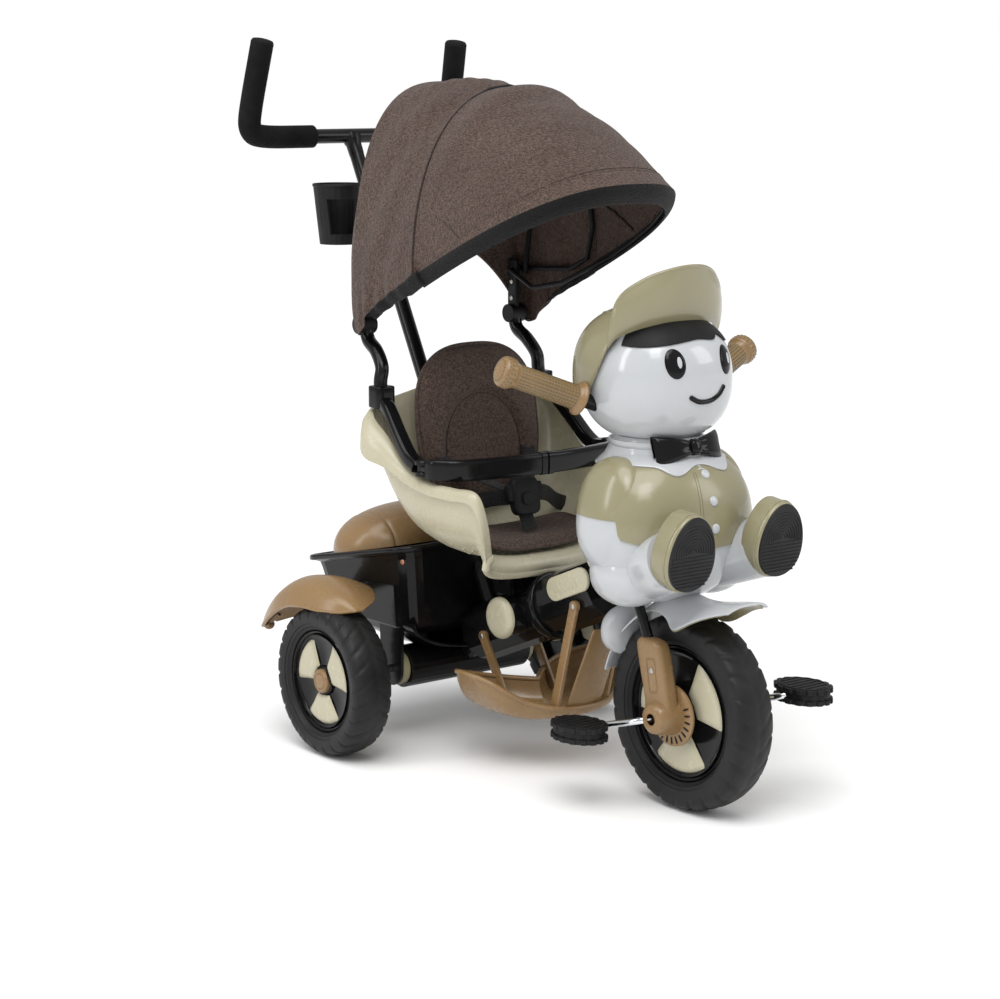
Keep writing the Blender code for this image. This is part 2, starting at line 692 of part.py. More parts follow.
def sorted_corners(x0, x1, y0, y1, z0, z1):
    return (min(x0, x1), y0, z0), (max(x0, x1), y1, z1)


# Guard bar ----------------------------------------------------------------------------------------
def make_guard():
    """Side rails from the canopy poles' collars to the corners, and a front bar in two hinged halves."""

    def half(side, sign):
        x, y, z = GATE_CORNER
        rail = [
            (sign * 0.142, 0.160, 0.4790),
            (sign * 0.147, 0.128, 0.4640),
            (sign * x, 0.088, 0.4250),
            (sign * x, y + 0.0300, z + 0.0040),
            (sign * x, y + 0.0180, z),
            (sign * x, y + 0.0095, z),
        ]
        collar = rod((sign * 0.1395, 0.1650, 0.4740), (sign * 0.138, 0.1690, 0.500), 0.0135)
        hinge = [rod_z(sign, -0.0095, -0.0045, 0.0115), rod_z(sign, 0.0045, 0.0095, 0.0115)]
        hinge.append(rod_z(sign, -0.0100, 0.0100, 0.0035))
        socket = tube(canopy_pole_path(sign), 0.0095 + GAP)
        arm = tube(rail, 0.0092)
        add(f"guard_rail_{side}", cut(joined(arm, collar, *hinge), socket), "black_gloss")

        inside, outside = [], []
        path = [(x, y), (x - 0.001, 0.030), (0.132, 0.0060), (0.100, -0.0040), (0.050, -0.0115), (-0.0040, -0.0140)]
        path = [Vector((px * sign, py)) for px, py in path]
        for i, point in enumerate(path):
            along = path[min(i + 1, len(path) - 1)] - path[max(i - 1, 0)]
            across = Vector((-along.y, along.x)).normalized() * 0.0075
            inside.append(point + across)
            outside.append(point - across)
        bar = plate(inside + outside[::-1], 0.024, Matrix.Translation((0.0, 0.0, z)), 0.003)
        beyond = box(*sorted_corners(-sign * 0.05, sign * 0.0003, -0.05, 0.02, z - 0.03, z + 0.03))
        eye = rod_z(sign, -0.0041, 0.0041, 0.0078)
        room = [rod_z(sign, -0.020, -0.0041, 0.0120), rod_z(sign, 0.0041, 0.020, 0.0120)]
        room.append(box(*sorted_corners(sign * 0.12, sign * 0.19, y + 0.0005, 0.09, z - 0.03, z + 0.03)))
        pin_room = rod_z(sign, -0.020, 0.020, 0.0039)
        gate = add(f"guard_bar_{side}", cut(joined(cut(bar, beyond, *room), eye), pin_room), "black_gloss")
        on_joint([gate], f"guard_bar_{side}_axis", (sign * x, y, z))

    both_sides(half)


def rod_z(sign, low, high, radius):
    """Upright round piece about a guard bar's hinge."""
    x, y, z = GATE_CORNER
    return rod((sign * x, y, z + low), (sign * x, y, z + high), radius, 16)


# Canopy -------------------------------------------------------------------------------------------
TRIM_SLOPE = 0.49
MID_Y = 0.066
REAR_Y = 0.203
FABRIC_HALF = 0.158
FABRIC_TOP = 0.910
FABRIC = 0.002
BOW_R = 0.0035
BOW_INSET = 0.0065


def trim_height(y):
    """Height of the canopy's lower edge on its sides."""
    return 0.622 + (0.154 - y) * TRIM_SLOPE


def canopy_pole_path(sign):
    return [
        (sign * 0.1385, 0.1680, 0.4920),
        (sign * 0.1375, 0.1710, 0.5080),
        (sign * 0.1340, 0.1690, 0.5280),
        (sign * 0.1310, 0.1850, 0.5460),
        (sign * 0.1300, 0.2100, 0.5600),
        (sign * BRACKET_X, 0.2160, 0.5800),
    ]


def canopy_arch(y, inset=0.0, count=17):
    """Arch of the canopy between its middle and its rear bow, in the plane at this y."""
    share = (y - MID_Y) / (REAR_Y - MID_Y)
    foot = trim_height(MID_Y) * (1.0 - share) + 0.590 * share
    power = 2.1 + 0.7 * share
    row = []
    for i in range(count):
        x, z = arch_point(math.pi * i / (count - 1), FABRIC_HALF - inset, FABRIC_TOP - inset - foot, power)
        row.append((x, y, foot + z))
    return row


def trim_row(inset=0.0, drop=0.0, count=17):
    """The canopy's front edge: a U in a sloping plane, from one side round the front to the other."""
    row = []
    for i in range(count):
        x, reach = arch_point(math.pi * i / (count - 1), 0.152 - inset, 0.253 - inset, 2.6)
        y = MID_Y - reach
        row.append((x, y, trim_height(y) - drop))
    return row


def make_canopy():
    def post(side, sign):
        path = canopy_pole_path(sign)
        add(f"canopy_pole_{side}", tube(path, 0.0095), "black_gloss")
        upright = box(*sorted_corners(sign * 0.1265, sign * 0.1335, 0.208, 0.227, 0.5860, 0.660), 0.002)
        knob = rod((sign * 0.1190, 0.216, 0.5830), (sign * 0.1420, 0.216, 0.5830), 0.0125)
        hole = rod_cut((sign * BRACKET_X, PIVOT_Y, PIVOT_Z), 0.02, 0.0035)
        bracket = cut(joined(upright, knob), hole, tube(path, 0.0095 + GAP))
        add(f"canopy_bracket_{side}", bracket, "black_gloss")

    both_sides(post)
    rear = [(x, y, z) for x, y, z in canopy_arch(REAR_Y - 0.004, BOW_INSET) if z > 0.66]
    foot = (0.1380, REAR_Y - 0.004, 0.6400)
    ends = [foot, (0.1380, foot[1], 0.655)]
    mirrored = [(-x, y, z) for x, y, z in reversed(ends)]
    add("canopy_rear_bow", tube([*ends, *rear, *mirrored], BOW_R), "black_matt")

    middle = [(x, y, z) for x, y, z in canopy_arch(MID_Y, BOW_INSET) if z > 0.68]
    ends = [(0.1460, PIVOT_Y, PIVOT_Z), (0.1470, 0.110, 0.6520), (0.1500, MID_Y + 0.012, 0.668)]
    mirrored = [(-x, y, z) for x, y, z in reversed(ends)]
    mid_bow = add("canopy_middle_bow", tube([*ends, *middle, *mirrored], BOW_R), "black_matt")

    front = trim_row(0.0075, 0.014)[1:-1]
    ends = [(0.1225, PIVOT_Y, PIVOT_Z), (0.1225, 0.165, 0.6230), (0.1300, 0.110, 0.6330)]
    mirrored = [(-x, y, z) for x, y, z in reversed(ends)]
    front_bow = add("canopy_front_bow", tube([*ends, *front, *mirrored], BOW_R), "black_matt")

    seam = 0.0009
    rows = []
    for i in range(5):
        y = MID_Y + seam + (REAR_Y - MID_Y - seam) * i / 4
        rows.append(canopy_arch(y))
    add("canopy_rear_fabric", sheet(rows, FABRIC), "fabric")

    rows = []
    edge, arch = trim_row(), canopy_arch(MID_Y - seam)
    for i in range(7):
        t = i / 6
        row = []
        for low, high in zip(edge, arch):
            lift = 0.030 * math.sin(math.pi * t) * max(0.0, (high[2] - 0.72) / 0.19)
            point = Vector(low).lerp(Vector(high), t)
            row.append((point.x, point.y - lift * 0.6, point.z + lift))
        rows.append(row)
    front_fabric = add("canopy_front_fabric", sheet(rows, FABRIC), "fabric")

    rows = []
    arch = canopy_arch(REAR_Y + 0.0022)
    for i in range(6):
        t = i / 5
        row = []
        for j, (x, y, z) in enumerate(arch):
            angle = math.pi * j / (len(arch) - 1)
            hem = Vector((0.1555 * math.cos(angle), 0.0, 0.600 + 0.095 * math.sin(angle)))
            point = Vector((x, 0.0, z)).lerp(hem, t)
            bulge = 0.038 * math.sin(math.pi / 2.0 * min(1.0, 1.7 * t)) * max(0.0, math.sin(angle)) ** 0.5
            row.append((point.x, y + bulge, point.z))
        rows.append(row)
    add("canopy_back_panel", sheet(rows, FABRIC), "fabric")
    pivot = (0.0, PIVOT_Y, PIVOT_Z)
    on_joint([mid_bow], "canopy_middle_axis", pivot)
    on_joint([front_bow, front_fabric], "canopy_front_axis", pivot)


# Push handle --------------------------------------------------------------------------------------
def make_push_handle():
    socket = rod(POLE_FOOT - POLE_DIR * 0.10, POLE_FOOT + POLE_DIR * 0.062, 0.0155, 20, POLE_R + GAP)
    add("handle_socket", socket, "black_gloss")
    corner = [(0.1690, 0.4040, 0.9640), (0.1760, 0.4300, 0.8640), (0.1740, 0.4335, 0.8430), (0.1600, 0.4340, 0.8320)]
    bar = [*corner, (0.120, 0.434, 0.832)]
    bar = bar + [(-x, y, z) for x, y, z in reversed(bar)]
    lower = POLE_FOOT - POLE_DIR * 0.030
    tips = Vector(bar[0]), Vector(bar[1])
    short = tips[0] + (tips[1] - tips[0]).normalized() * 0.008
    inner = [short, *bar[1:-1], Vector((-short.x, short.y, short.z))]
    handle = joined(tube(inner, 0.0105), rod(lower, POLE_TOP, POLE_R))
    pieces = [add("push_pole", handle, "black_gloss")]

    def foam(side, sign):
        path = [Vector((x * sign, y, z)) for x, y, z in [*corner, (0.068, 0.434, 0.832)]]
        sleeve = tube(path, FOAM_R, 3)
        return add(f"foam_grip_{side}", cut(sleeve, tube(inner, 0.0105 + GAP)), "black_matt")

    pieces += both_sides(foam)
    cup_at = Vector((-0.0530, 0.3900, 0.680))
    outside = [(0.0, 0.085), (0.0365, 0.085), (0.0365, 0.081), (0.0280, 0.0), (0.0, 0.0)]
    inside = [(0.0, 0.095), (0.0345, 0.095), (0.0258, 0.0025), (0.0, 0.0025)]
    cup = turned(outside, cup_at, (0, 0, 1), 24)
    on_pole = POLE_FOOT + POLE_DIR * ((0.715 - POLE_FOOT.z) / POLE_DIR.z)
    clamp = rod(on_pole - POLE_DIR * 0.014, on_pole + POLE_DIR * 0.014, 0.0155)
    arm = box((-0.026, 0.373, 0.708), (-0.009, 0.386, 0.724))
    slot = box((-0.112, 0.345, 0.695), (-0.048, 0.375, 0.745))
    holder = cut(joined(cup, clamp, arm), turned(inside, cup_at, (0, 0, 1), 24), slot)
    holder = cut(holder, rod(POLE_FOOT, POLE_TOP, POLE_R + GAP))
    pieces.append(add("cup_holder", holder, "black_matt"))
    on_joint(pieces, "push_handle_axis", POLE_FOOT)


# Trunk, fenders and footrest ----------------------------------------------------------------------
TRUNK_RINGS = [
    # half width, front y, rear y, front z, rear z, corner radius
    (0.104, 0.152, 0.306, 0.1520, 0.1520, 0.020),
    (0.116, 0.139, 0.322, 0.1560, 0.1560, 0.026),
    (0.123, 0.130, 0.330, 0.1680, 0.1660, 0.030),
    (0.137, 0.119, 0.341, 0.2700, 0.2230, 0.030),
    (0.139, 0.117, 0.343, 0.2790, 0.2300, 0.030),
    (0.147, 0.111, 0.355, 0.2830, 0.2330, 0.034),
    (0.147, 0.111, 0.355, 0.2880, 0.2380, 0.034),
]
LID_PIVOT = Vector((0.0, 0.1730, 0.2785))


def rounded_ring(half, front, rear, z_front, z_rear, radius, grow=0.0):
    """Ring of points round a rectangle with rounded corners, in a plane that slopes from front to rear."""
    ring = []
    corners = [(1, 1, 0), (-1, 1, 90), (-1, -1, 180), (1, -1, 270)]
    for side, end, start in corners:
        x = side * (half - radius)
        y = rear - radius if end > 0 else front + radius
        for step in range(5):
            angle = math.radians(start + 22.5 * step)
            point_y = y + (radius + grow) * math.sin(angle)
            share = (point_y - front) / (rear - front)
            ring.append((x + (radius + grow) * math.cos(angle), point_y, z_front + (z_rear - z_front) * share))
    return ring


def loft(rings):
    """Solid through a stack of rings with equal counts, closed by a flat face at either end."""
    count = len(rings[0])
    points = [point for ring in rings for point in ring]
    faces = [list(range(count)), [len(points) - count + i for i in range(count)]]
    for i in range(len(rings) - 1):
        for j in range(count):
            k = (j + 1) % count
            low, high = i * count, (i + 1) * count
            faces += [[low + j, low + k, high + k], [low + j, high + k, high + j]]
    bm = bmesh.new()
    verts = [bm.verts.new(point) for point in points]
    for face in faces:
        bm.faces.new([verts[i] for i in face])
    return mesh_from(bm, "loft")


def trunk_body(grow=0.0):
    return loft([rounded_ring(*ring, grow) for ring in TRUNK_RINGS])


def make_trunk():
    """Tub with a flared rim, a deck in front of its lid, and a lug down to the axle on either side."""
    inside = []
    for half, front, rear, z_front, z_rear, radius in TRUNK_RINGS[:5]:
        inside.append(rounded_ring(half - 0.003, front + 0.003, rear - 0.003, z_front, z_rear, radius - 0.003))
    inside = [[(x, y, z + 0.003) for x, y, z in ring] for ring in inside]
    opening = rounded_ring(0.120, 0.1830, 0.330, 0.2400, 0.2400, 0.030)
    opening = loft([opening, [(x, y, 0.31) for x, y, z in opening]])
    lugs = []
    for sign in SIDES.values():
        outline = [(0.203, 0.190), (0.148, 0.190)]
        for i in range(13):
            angle = math.radians(180.0 + 15.0 * i)
            outline.append((REAR_AXLE.y + 0.024 * math.cos(angle), REAR_AXLE.z + 0.024 * math.sin(angle)))
        lugs.append(plate(outline, 0.0040, side_plane(sign * 0.1190)))
    shell = cut(trunk_body(), loft(inside), opening)
    beam_room = tube([BEAM_REAR, BEAM_FRONT], BEAM_R + 0.001, 4)
    socket_room = rod(POLE_FOOT - POLE_DIR * 0.11, POLE_FOOT + POLE_DIR * 0.10, 0.0165)
    shell = cut(joined(shell, *lugs), beam_room, socket_room, rod_cut(REAR_AXLE, 0.2, 0.0056))
    add("trunk", shell, "black_gloss")

    slope = math.atan2(0.050, 0.244)
    centre = Vector((0.0, 0.2570, 0.2590))
    tilt = Matrix.Translation(centre) @ Matrix.Rotation(-slope, 4, "X")
    outer = blob((0.0, 0.0, 0.0), (0.130, 0.084, 0.064), 2.2, (28, 14), 5.0)
    inner = blob((0.0, 0.0, -0.003), (0.127, 0.081, 0.064), 2.2, (28, 14), 5.0)
    under = box((-0.2, -0.2, -0.2), (0.2, 0.2, 0.0009))
    lid = cut(outer, inner, under)
    lid.transform(tilt)
    notch = rod(POLE_FOOT - POLE_DIR * 0.11, POLE_FOOT + POLE_DIR * 0.10, 0.0185)
    lid = add("trunk_lid", cut(lid, notch), "tan")
    on_joint([lid], "trunk_lid_axis", LID_PIVOT)


def make_fender(side, sign):
    """Arched cover over a rear wheel, fixed to the trunk's side, with a flange that hangs down outside it."""
    spine = [
        # y, ridge z, drop of the outer edge, half-width share
        (0.140, 0.2200, 0.012, 1.0),
        (0.164, 0.2380, 0.028, 1.0),
        (0.204, 0.2470, 0.038, 1.0),
        (0.248, 0.2370, 0.040, 1.0),
        (0.288, 0.2130, 0.036, 0.92),
        (0.322, 0.1820, 0.026, 0.72),
        (0.346, 0.1560, 0.010, 0.42),
    ]
    rows = []
    for y, z, drop, share in spine:
        row = []
        for x, part in ((0.125, 0.30), (0.160, 0.02), (0.200, 0.0), (0.232, 0.25), (0.2500, 1.0)):
            row.append((sign * (0.210 + (x - 0.210) * share), y, z - drop * part))
        rows.append(row)
    fender = cut(sheet(rows, 0.003), trunk_body(GAP))
    add(f"rear_fender_{side}", fender, "tan")


def make_footrest():
    """Tray with two foot lobes, hung from the beam by four legs and a tongue in front."""
    rows = []
    profile = [(-1.0, 1.0), (-0.86, 0.30), (-0.55, 0.02), (0.0, 0.0), (0.55, 0.02), (0.86, 0.35), (1.0, 1.25)]
    for i in range(17):
        x = -0.150 + 0.300 * i / 16
        u = abs(x) / 0.150
        depth = 0.008 + 0.062 * (1.0 - min(1.0, u) ** 4) ** 0.5 - 0.024 * max(0.0, 1.0 - u / 0.42) ** 1.5
        middle = -0.058 + 0.046 * min(1.0, u / 0.55)
        floor = 0.074 + 0.050 * max(0.0, (u - 0.62) / 0.38) ** 2
        rim = 0.112 + 0.030 * u * u
        rows.append([(x, middle + s * depth, floor + (rim - floor) * share) for s, share in profile])
    straps = []
    for sign in SIDES.values():
        straps.append(strap(sign * 0.0425, (0.066, 0.160), (0.018, 0.083), 0.006, 0.014))
        straps.append(strap(sign * 0.0425, (-0.128, 0.236), (-0.088, 0.088), 0.006, 0.014))
    tongue = strap(0.0, (-0.146, 0.205), (-0.092, 0.082), 0.056, 0.004)
    beam_room = tube([BEAM_REAR, BEAM_FRONT], BEAM_R + GAP, 4)
    add("footrest", cut(joined(sheet(rows, 0.0035), *straps, tongue), beam_room), "tan")


def strap(x, top, low, width, depth):
    """Flat leg between two (y, z) places."""
    top, low = Vector((x, *top)), Vector((x, *low))
    bar = box((-width / 2, -depth / 2, 0.0), (width / 2, depth / 2, (top - low).length))
    bar.transform(Matrix.Translation(low) @ frame_along(top - low, (0.0, 1.0, 0.0)))
    return bar


def main():
    make_frame()
    both_sides(make_rear_wheel)
    make_front_wheel()
    column = make_fork() + make_handlebar() + make_figure()
    on_joint(column, "steering_axis", steer_point(0.35))
    make_seat()
    make_harness()
    make_seat_bracket()
    make_guard()
    make_canopy()
    make_push_handle()
    make_trunk()
    both_sides(make_fender)
    make_footrest()


main()
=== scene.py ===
"""Looks of the push tricycle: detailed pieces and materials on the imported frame, with a studio round it.

Metres, +Z up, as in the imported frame. The rider faces -Y, so the rider's right is -X.
"""

import math

import bmesh
import bpy
import numpy as np
from mathutils import Matrix, Vector


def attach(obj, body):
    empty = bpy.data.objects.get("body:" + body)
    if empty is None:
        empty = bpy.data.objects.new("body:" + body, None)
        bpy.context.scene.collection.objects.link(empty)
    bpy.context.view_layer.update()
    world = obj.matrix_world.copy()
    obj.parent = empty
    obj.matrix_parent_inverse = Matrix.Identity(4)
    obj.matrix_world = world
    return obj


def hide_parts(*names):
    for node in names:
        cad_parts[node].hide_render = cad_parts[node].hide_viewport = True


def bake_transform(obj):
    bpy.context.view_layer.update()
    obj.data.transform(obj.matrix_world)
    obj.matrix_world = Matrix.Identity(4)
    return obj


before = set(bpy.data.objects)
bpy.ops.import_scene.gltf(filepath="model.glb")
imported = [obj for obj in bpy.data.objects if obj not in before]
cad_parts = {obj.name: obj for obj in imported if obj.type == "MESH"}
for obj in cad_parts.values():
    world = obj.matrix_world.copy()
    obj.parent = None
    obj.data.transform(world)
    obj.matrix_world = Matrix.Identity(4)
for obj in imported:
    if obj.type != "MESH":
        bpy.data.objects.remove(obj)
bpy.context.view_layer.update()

# Dimensions, in metres -------------------------------------------------------------------------------
SIDES = {"right": -1.0, "left": 1.0}
FRONT_AXLE = Vector((0.0, -0.308, 0.1264))
FRONT_TYRE_R = 0.1264
REAR_AXLE = Vector((0.0, 0.175, 0.105))
REAR_TYRE_R = 0.105
REAR_WHEEL_X = 0.2175
TYRE_HALF_WIDTH = 0.0293
CRANK_X = 0.0735
CRANK_THROW = 0.090
CRANK_DROP = math.radians(-16.0)
PEDAL_X = 0.1120
BEAM_REAR = Vector((0.0, 0.115, 0.1523))
BEAM_FRONT = Vector((0.0, -0.150, 0.262))
BEAM_R = 0.042
BODY_CENTRE = Vector((0.0, -0.256, 0.362))
BODY_RADII = Vector((0.117, 0.086, 0.100))
BODY_POWER = 2.25
HEAD_CENTRE = Vector((0.0, -0.235, 0.545))
HEAD_RADII = Vector((0.0900, 0.0905, 0.0820))
HEAD_POWER = 2.4
SHOE_AT = Vector((0.0, -0.371, 0.348))
SHOE_TURN = math.radians(98.0)
SHOE_X = 0.075
TUBE_R = 0.0095
BAR_BEND = Vector((0.085, -0.2110, 0.5160))
BAR_END = Vector((0.203, -0.1815, 0.5620))
GRIP_START = 0.018
GRIP_R = 0.0152
HOLES_ROUND = 22
HOLE_PITCH = 0.0042
GATE_CORNER = Vector((0.154, 0.052, 0.407))
POLE_R = 0.0105
FOAM_R = 0.0162
POLE_FOOT = Vector((0.0, 0.1380, 0.268))
POLE_TOP = Vector((0.0, 0.434, 0.832))
POLE_DIR = (POLE_TOP - POLE_FOOT).normalized()
CANOPY_MID_Y = 0.066
CANOPY_REAR_Y = 0.203
CANOPY_HALF = 0.158
CANOPY_TOP = 0.910
TRUNK_FRONT_Y = 0.111
TRUNK_REAR_Y = 0.355
TRUNK_CORNER_X = 0.113
TRUNK_CORNER_R = 0.034
LID_HALF = 0.146
TRAY_HALF = 0.132

# Material recipes: two colours to wander between, roughness, and what else moulded() takes ------------
BLACK_GLOSS = dict(low=(0.0045, 0.0045, 0.005), high=(0.007, 0.007, 0.0075), rough=0.12, shine=0.22)
BLACK_PAINT = dict(low=(0.002, 0.002, 0.0025), high=(0.006, 0.006, 0.0065), rough=0.22, shine=0.30)
BLACK_MATT = dict(low=(0.004, 0.004, 0.0045), high=(0.010, 0.010, 0.011), rough=0.55, shine=0.25,
                  grain=900, bump=0.12)
RUBBER = dict(low=(0.006, 0.006, 0.0065), high=(0.013, 0.013, 0.014), rough=0.50, shine=0.30,
              grain=500, bump=0.10)
FOAM = dict(low=(0.004, 0.004, 0.004), high=(0.010, 0.010, 0.010), rough=0.85, shine=0.15,
            grain=1400, bump=0.5)
CHROME = dict(low=(0.72, 0.73, 0.75), high=(0.86, 0.87, 0.88), rough=0.12, metal=1.0)
SCREW = dict(low=(0.35, 0.33, 0.30), high=(0.60, 0.57, 0.52), rough=0.30, metal=1.0)
COPPER = dict(low=(0.45, 0.20, 0.10), high=(0.62, 0.32, 0.18), rough=0.32, metal=1.0)
TAN = dict(low=(0.250, 0.152, 0.066), high=(0.268, 0.165, 0.073), rough=0.26)
CREAM = dict(low=(0.475, 0.440, 0.315), high=(0.500, 0.465, 0.338), rough=0.26)
KHAKI = dict(low=(0.262, 0.238, 0.142), high=(0.278, 0.252, 0.152), rough=0.22, coat=0.2)
WHITE = dict(low=(0.480, 0.495, 0.510), high=(0.500, 0.515, 0.530), rough=0.14, coat=0.3)
# Darker khaki laid flush where the placket's grooves and the grips' holes sink in: painted shade of those
# recesses
RECESS_SHADE = dict(low=(0.10, 0.09, 0.045), high=(0.15, 0.13, 0.07), rough=0.5)


# Materials -------------------------------------------------------------------------------------------
def blank_material(name):
    made = bpy.data.materials.new(name)
    made.use_nodes = True
    tree = made.node_tree
    return made, tree, tree.nodes["Principled BSDF"]


def noise(tree, scale, detail=4.0, stretch=None):
    """Noise in the object's own metres, stretched along an axis where one is given."""
    place = tree.nodes.new("ShaderNodeTexCoord")
    source = place.outputs["Object"]
    if stretch:
        mapping = tree.nodes.new("ShaderNodeMapping")
        mapping.inputs["Scale"].default_value = stretch
        tree.links.new(source, mapping.inputs["Vector"])
        source = mapping.outputs["Vector"]
    texture = tree.nodes.new("ShaderNodeTexNoise")
    texture.inputs["Scale"].default_value = scale
    texture.inputs["Detail"].default_value = detail
    tree.links.new(source, texture.inputs["Vector"])
    return texture.outputs["Fac"]


def ramp(tree, source, stops):
    made = tree.nodes.new("ShaderNodeValToRGB")
    ends = made.color_ramp.elements
    while len(ends) < len(stops):
        ends.new(0.5)
    for element, (place, colour) in zip(ends, stops):
        element.position = place
        element.color = (*colour, 1.0)
    tree.links.new(source, made.inputs["Fac"])
    return made.outputs["Color"]


def spread(tree, source, low, high, from_low=0.3, from_high=0.7):
    made = tree.nodes.new("ShaderNodeMapRange")
    made.inputs["From Min"].default_value = from_low
    made.inputs["From Max"].default_value = from_high
    made.inputs["To Min"].default_value = low
    made.inputs["To Max"].default_value = high
    tree.links.new(source, made.inputs["Value"])
    return made.outputs["Result"]


def bumped(tree, shader, height, strength, distance):
    bump = tree.nodes.new("ShaderNodeBump")
    bump.inputs["Strength"].default_value = strength
    bump.inputs["Distance"].default_value = distance
    tree.links.new(height, bump.inputs["Height"])
    tree.links.new(bump.outputs["Normal"], shader.inputs["Normal"])


def moulded(name, low, high, rough, metal=0.0, coat=0.0, shine=0.5, grain=300, bump=0.012):
    """Plastic, paint, rubber or metal: cloudy colour, uneven polish, fine grain, and edges rubbed lighter."""
    made, tree, shader = blank_material(name)
    cloudy = ramp(tree, noise(tree, 22.0), [(0.3, low), (0.7, high)])
    edges = tree.nodes.new("ShaderNodeNewGeometry").outputs["Pointiness"]
    worn = spread(tree, edges, 0.0, 0.08, 0.55, 0.70)
    mix = tree.nodes.new("ShaderNodeMix")
    mix.data_type = "RGBA"
    mix.inputs["B"].default_value = (*[min(1.0, c * 1.3 + 0.004) for c in high], 1.0)
    tree.links.new(worn, mix.inputs["Factor"])
    tree.links.new(cloudy, mix.inputs["A"])
    tree.links.new(mix.outputs["Result"], shader.inputs["Base Color"])
    polish = spread(tree, noise(tree, 70.0), rough * 0.94, rough * 1.10)
    tree.links.new(polish, shader.inputs["Roughness"])
    shader.inputs["Metallic"].default_value = metal
    shader.inputs["Coat Weight"].default_value = coat
    shader.inputs["Coat Roughness"].default_value = 0.08
    shader.inputs["Specular IOR Level"].default_value = shine
    bumped(tree, shader, noise(tree, grain), bump, 0.0006)
    return made


def melange(name, dark, light, bump=0.7):
    """Woven two-tone cloth: crossed threads of mixed shades, with a soft nap."""
    made, tree, shader = blank_material(name)
    across = noise(tree, 520.0, 3.0, (0.45, 0.45, 2.2))
    along = noise(tree, 520.0, 3.0, (1.5, 1.5, 0.35))
    weave = tree.nodes.new("ShaderNodeMath")
    weave.operation = "ADD"
    tree.links.new(across, weave.inputs[0])
    tree.links.new(along, weave.inputs[1])
    middle = tuple((a + b) / 2.0 for a, b in zip(dark, light))
    height = spread(tree, weave.outputs[0], 0.0, 1.0, 0.80, 1.22)
    threads = ramp(tree, height, [(0.12, dark), (0.55, middle), (0.95, light)])
    shade = ramp(tree, noise(tree, 14.0), [(0.3, (0.86, 0.85, 0.85)), (0.7, (1.0, 1.0, 1.0))])
    mix = tree.nodes.new("ShaderNodeMix")
    mix.data_type = "RGBA"
    mix.blend_type = "MULTIPLY"
    mix.inputs["Factor"].default_value = 1.0
    tree.links.new(threads, mix.inputs["A"])
    tree.links.new(shade, mix.inputs["B"])
    tree.links.new(mix.outputs["Result"], shader.inputs["Base Color"])
    tree.links.new(spread(tree, height, 0.82, 0.98, 0.0, 1.0), shader.inputs["Roughness"])
    shader.inputs["Sheen Weight"].default_value = 0.12
    shader.inputs["Sheen Roughness"].default_value = 0.5
    shader.inputs["Specular IOR Level"].default_value = 0.2
    bumped(tree, shader, height, bump, 0.0008)
    return made


LOOKS = {
    # look: its material, and the slot of the record that it fills
    "black_gloss": (moulded("gloss_black_plastic", **BLACK_GLOSS), "black_gloss"),
    "black_paint": (moulded("black_painted_steel", **BLACK_PAINT), "black_metal"),
    "black_matt": (moulded("matt_black_plastic", **BLACK_MATT), "black_matt"),
    "rubber": (moulded("tyre_plastic", **RUBBER), "tyre"),
    "foam": (moulded("foam_sleeve", **FOAM), "foam"),
    "chrome": (moulded("chromed_steel", **CHROME), "chrome"),
    "screw": (moulded("screw_steel", **SCREW), "chrome"),
    "copper": (moulded("copper_pin", **COPPER), "chrome"),
    "tan": (moulded("tan_plastic", **TAN), "tan"),
    "cream": (moulded("cream_plastic", **CREAM), "cream"),
    "khaki": (moulded("khaki_plastic", **KHAKI), "khaki"),
    "white": (moulded("white_plastic", **WHITE), "white"),
    # "seam": the painted recess shade, for the placket lines and the grips' hole spots
    "seam": (moulded("khaki_painted_recess_shade", **RECESS_SHADE), "khaki"),
    "fabric": (melange("brown_melange", (0.045, 0.029, 0.023), (0.150, 0.102, 0.082)), "fabric"),
    "dark_fabric": (melange("brown_thread", (0.020, 0.013, 0.010), (0.060, 0.040, 0.032)), "fabric"),
    "trim": (melange("black_binding", (0.003, 0.003, 0.003), (0.010, 0.010, 0.011)), "fabric"),
    "webbing": (melange("black_webbing", (0.005, 0.005, 0.005), (0.022, 0.022, 0.023), 1.0), "webbing"),
}


# Small helpers ---------------------------------------------------------------------------------------
def unit(value):
    """Value kept between 0 and 1."""
    return min(1.0, max(0.0, value))


def hump(value, centre, width):
    """Smooth rise to 1 at a centre, fading out over a width to either side."""
    return math.exp(-(((value - centre) / width) ** 2))


def eased(share):
    return share * share * (3.0 - 2.0 * share)


def shift(x, y, z):
    return Matrix.Translation((x, y, z))


def turned(angle, axis):
    return Matrix.Rotation(angle, 4, axis)


def circle(count):
    return [math.tau * i / count for i in range(count)]


def linked(name, data):
    """New object in the scene."""
    obj = bpy.data.objects.new(name, data)
    bpy.context.scene.collection.objects.link(obj)
    return obj


# Mesh helpers: each gives a mesh in the frame's own metres -------------------------------------------
def mesh_of(points, faces):
    mesh = bpy.data.meshes.new("mesh")
    mesh.from_pydata([tuple(p) for p in points], [], faces)
    return mesh


def merged(*meshes):
    """One mesh of several."""
    bm = bmesh.new()
    for mesh in meshes:
        bm.from_mesh(mesh)
        bpy.data.meshes.remove(mesh)
    made = bpy.data.meshes.new("merged")
    bm.to_mesh(made)
    bm.free()
    return made


def with_modifiers(mesh, *steps):
    """Runs modifiers, given as (type, settings), on a mesh and gives the result."""
    obj = linked("working", mesh)
    for kind, settings in steps:
        modifier = obj.modifiers.new(kind, kind)
        for key, value in settings.items():
            setattr(modifier, key, value)
    bpy.context.view_layer.update()
    graph = bpy.context.evaluated_depsgraph_get()
    made = bpy.data.meshes.new_from_object(obj.evaluated_get(graph))
    bpy.data.objects.remove(obj, do_unlink=True)
    return made


def net(count, across, point):
    """Rows of points, where point(i, j) is place j of row i."""
    return [[tuple(point(i, j)) for j in range(across)] for i in range(count)]


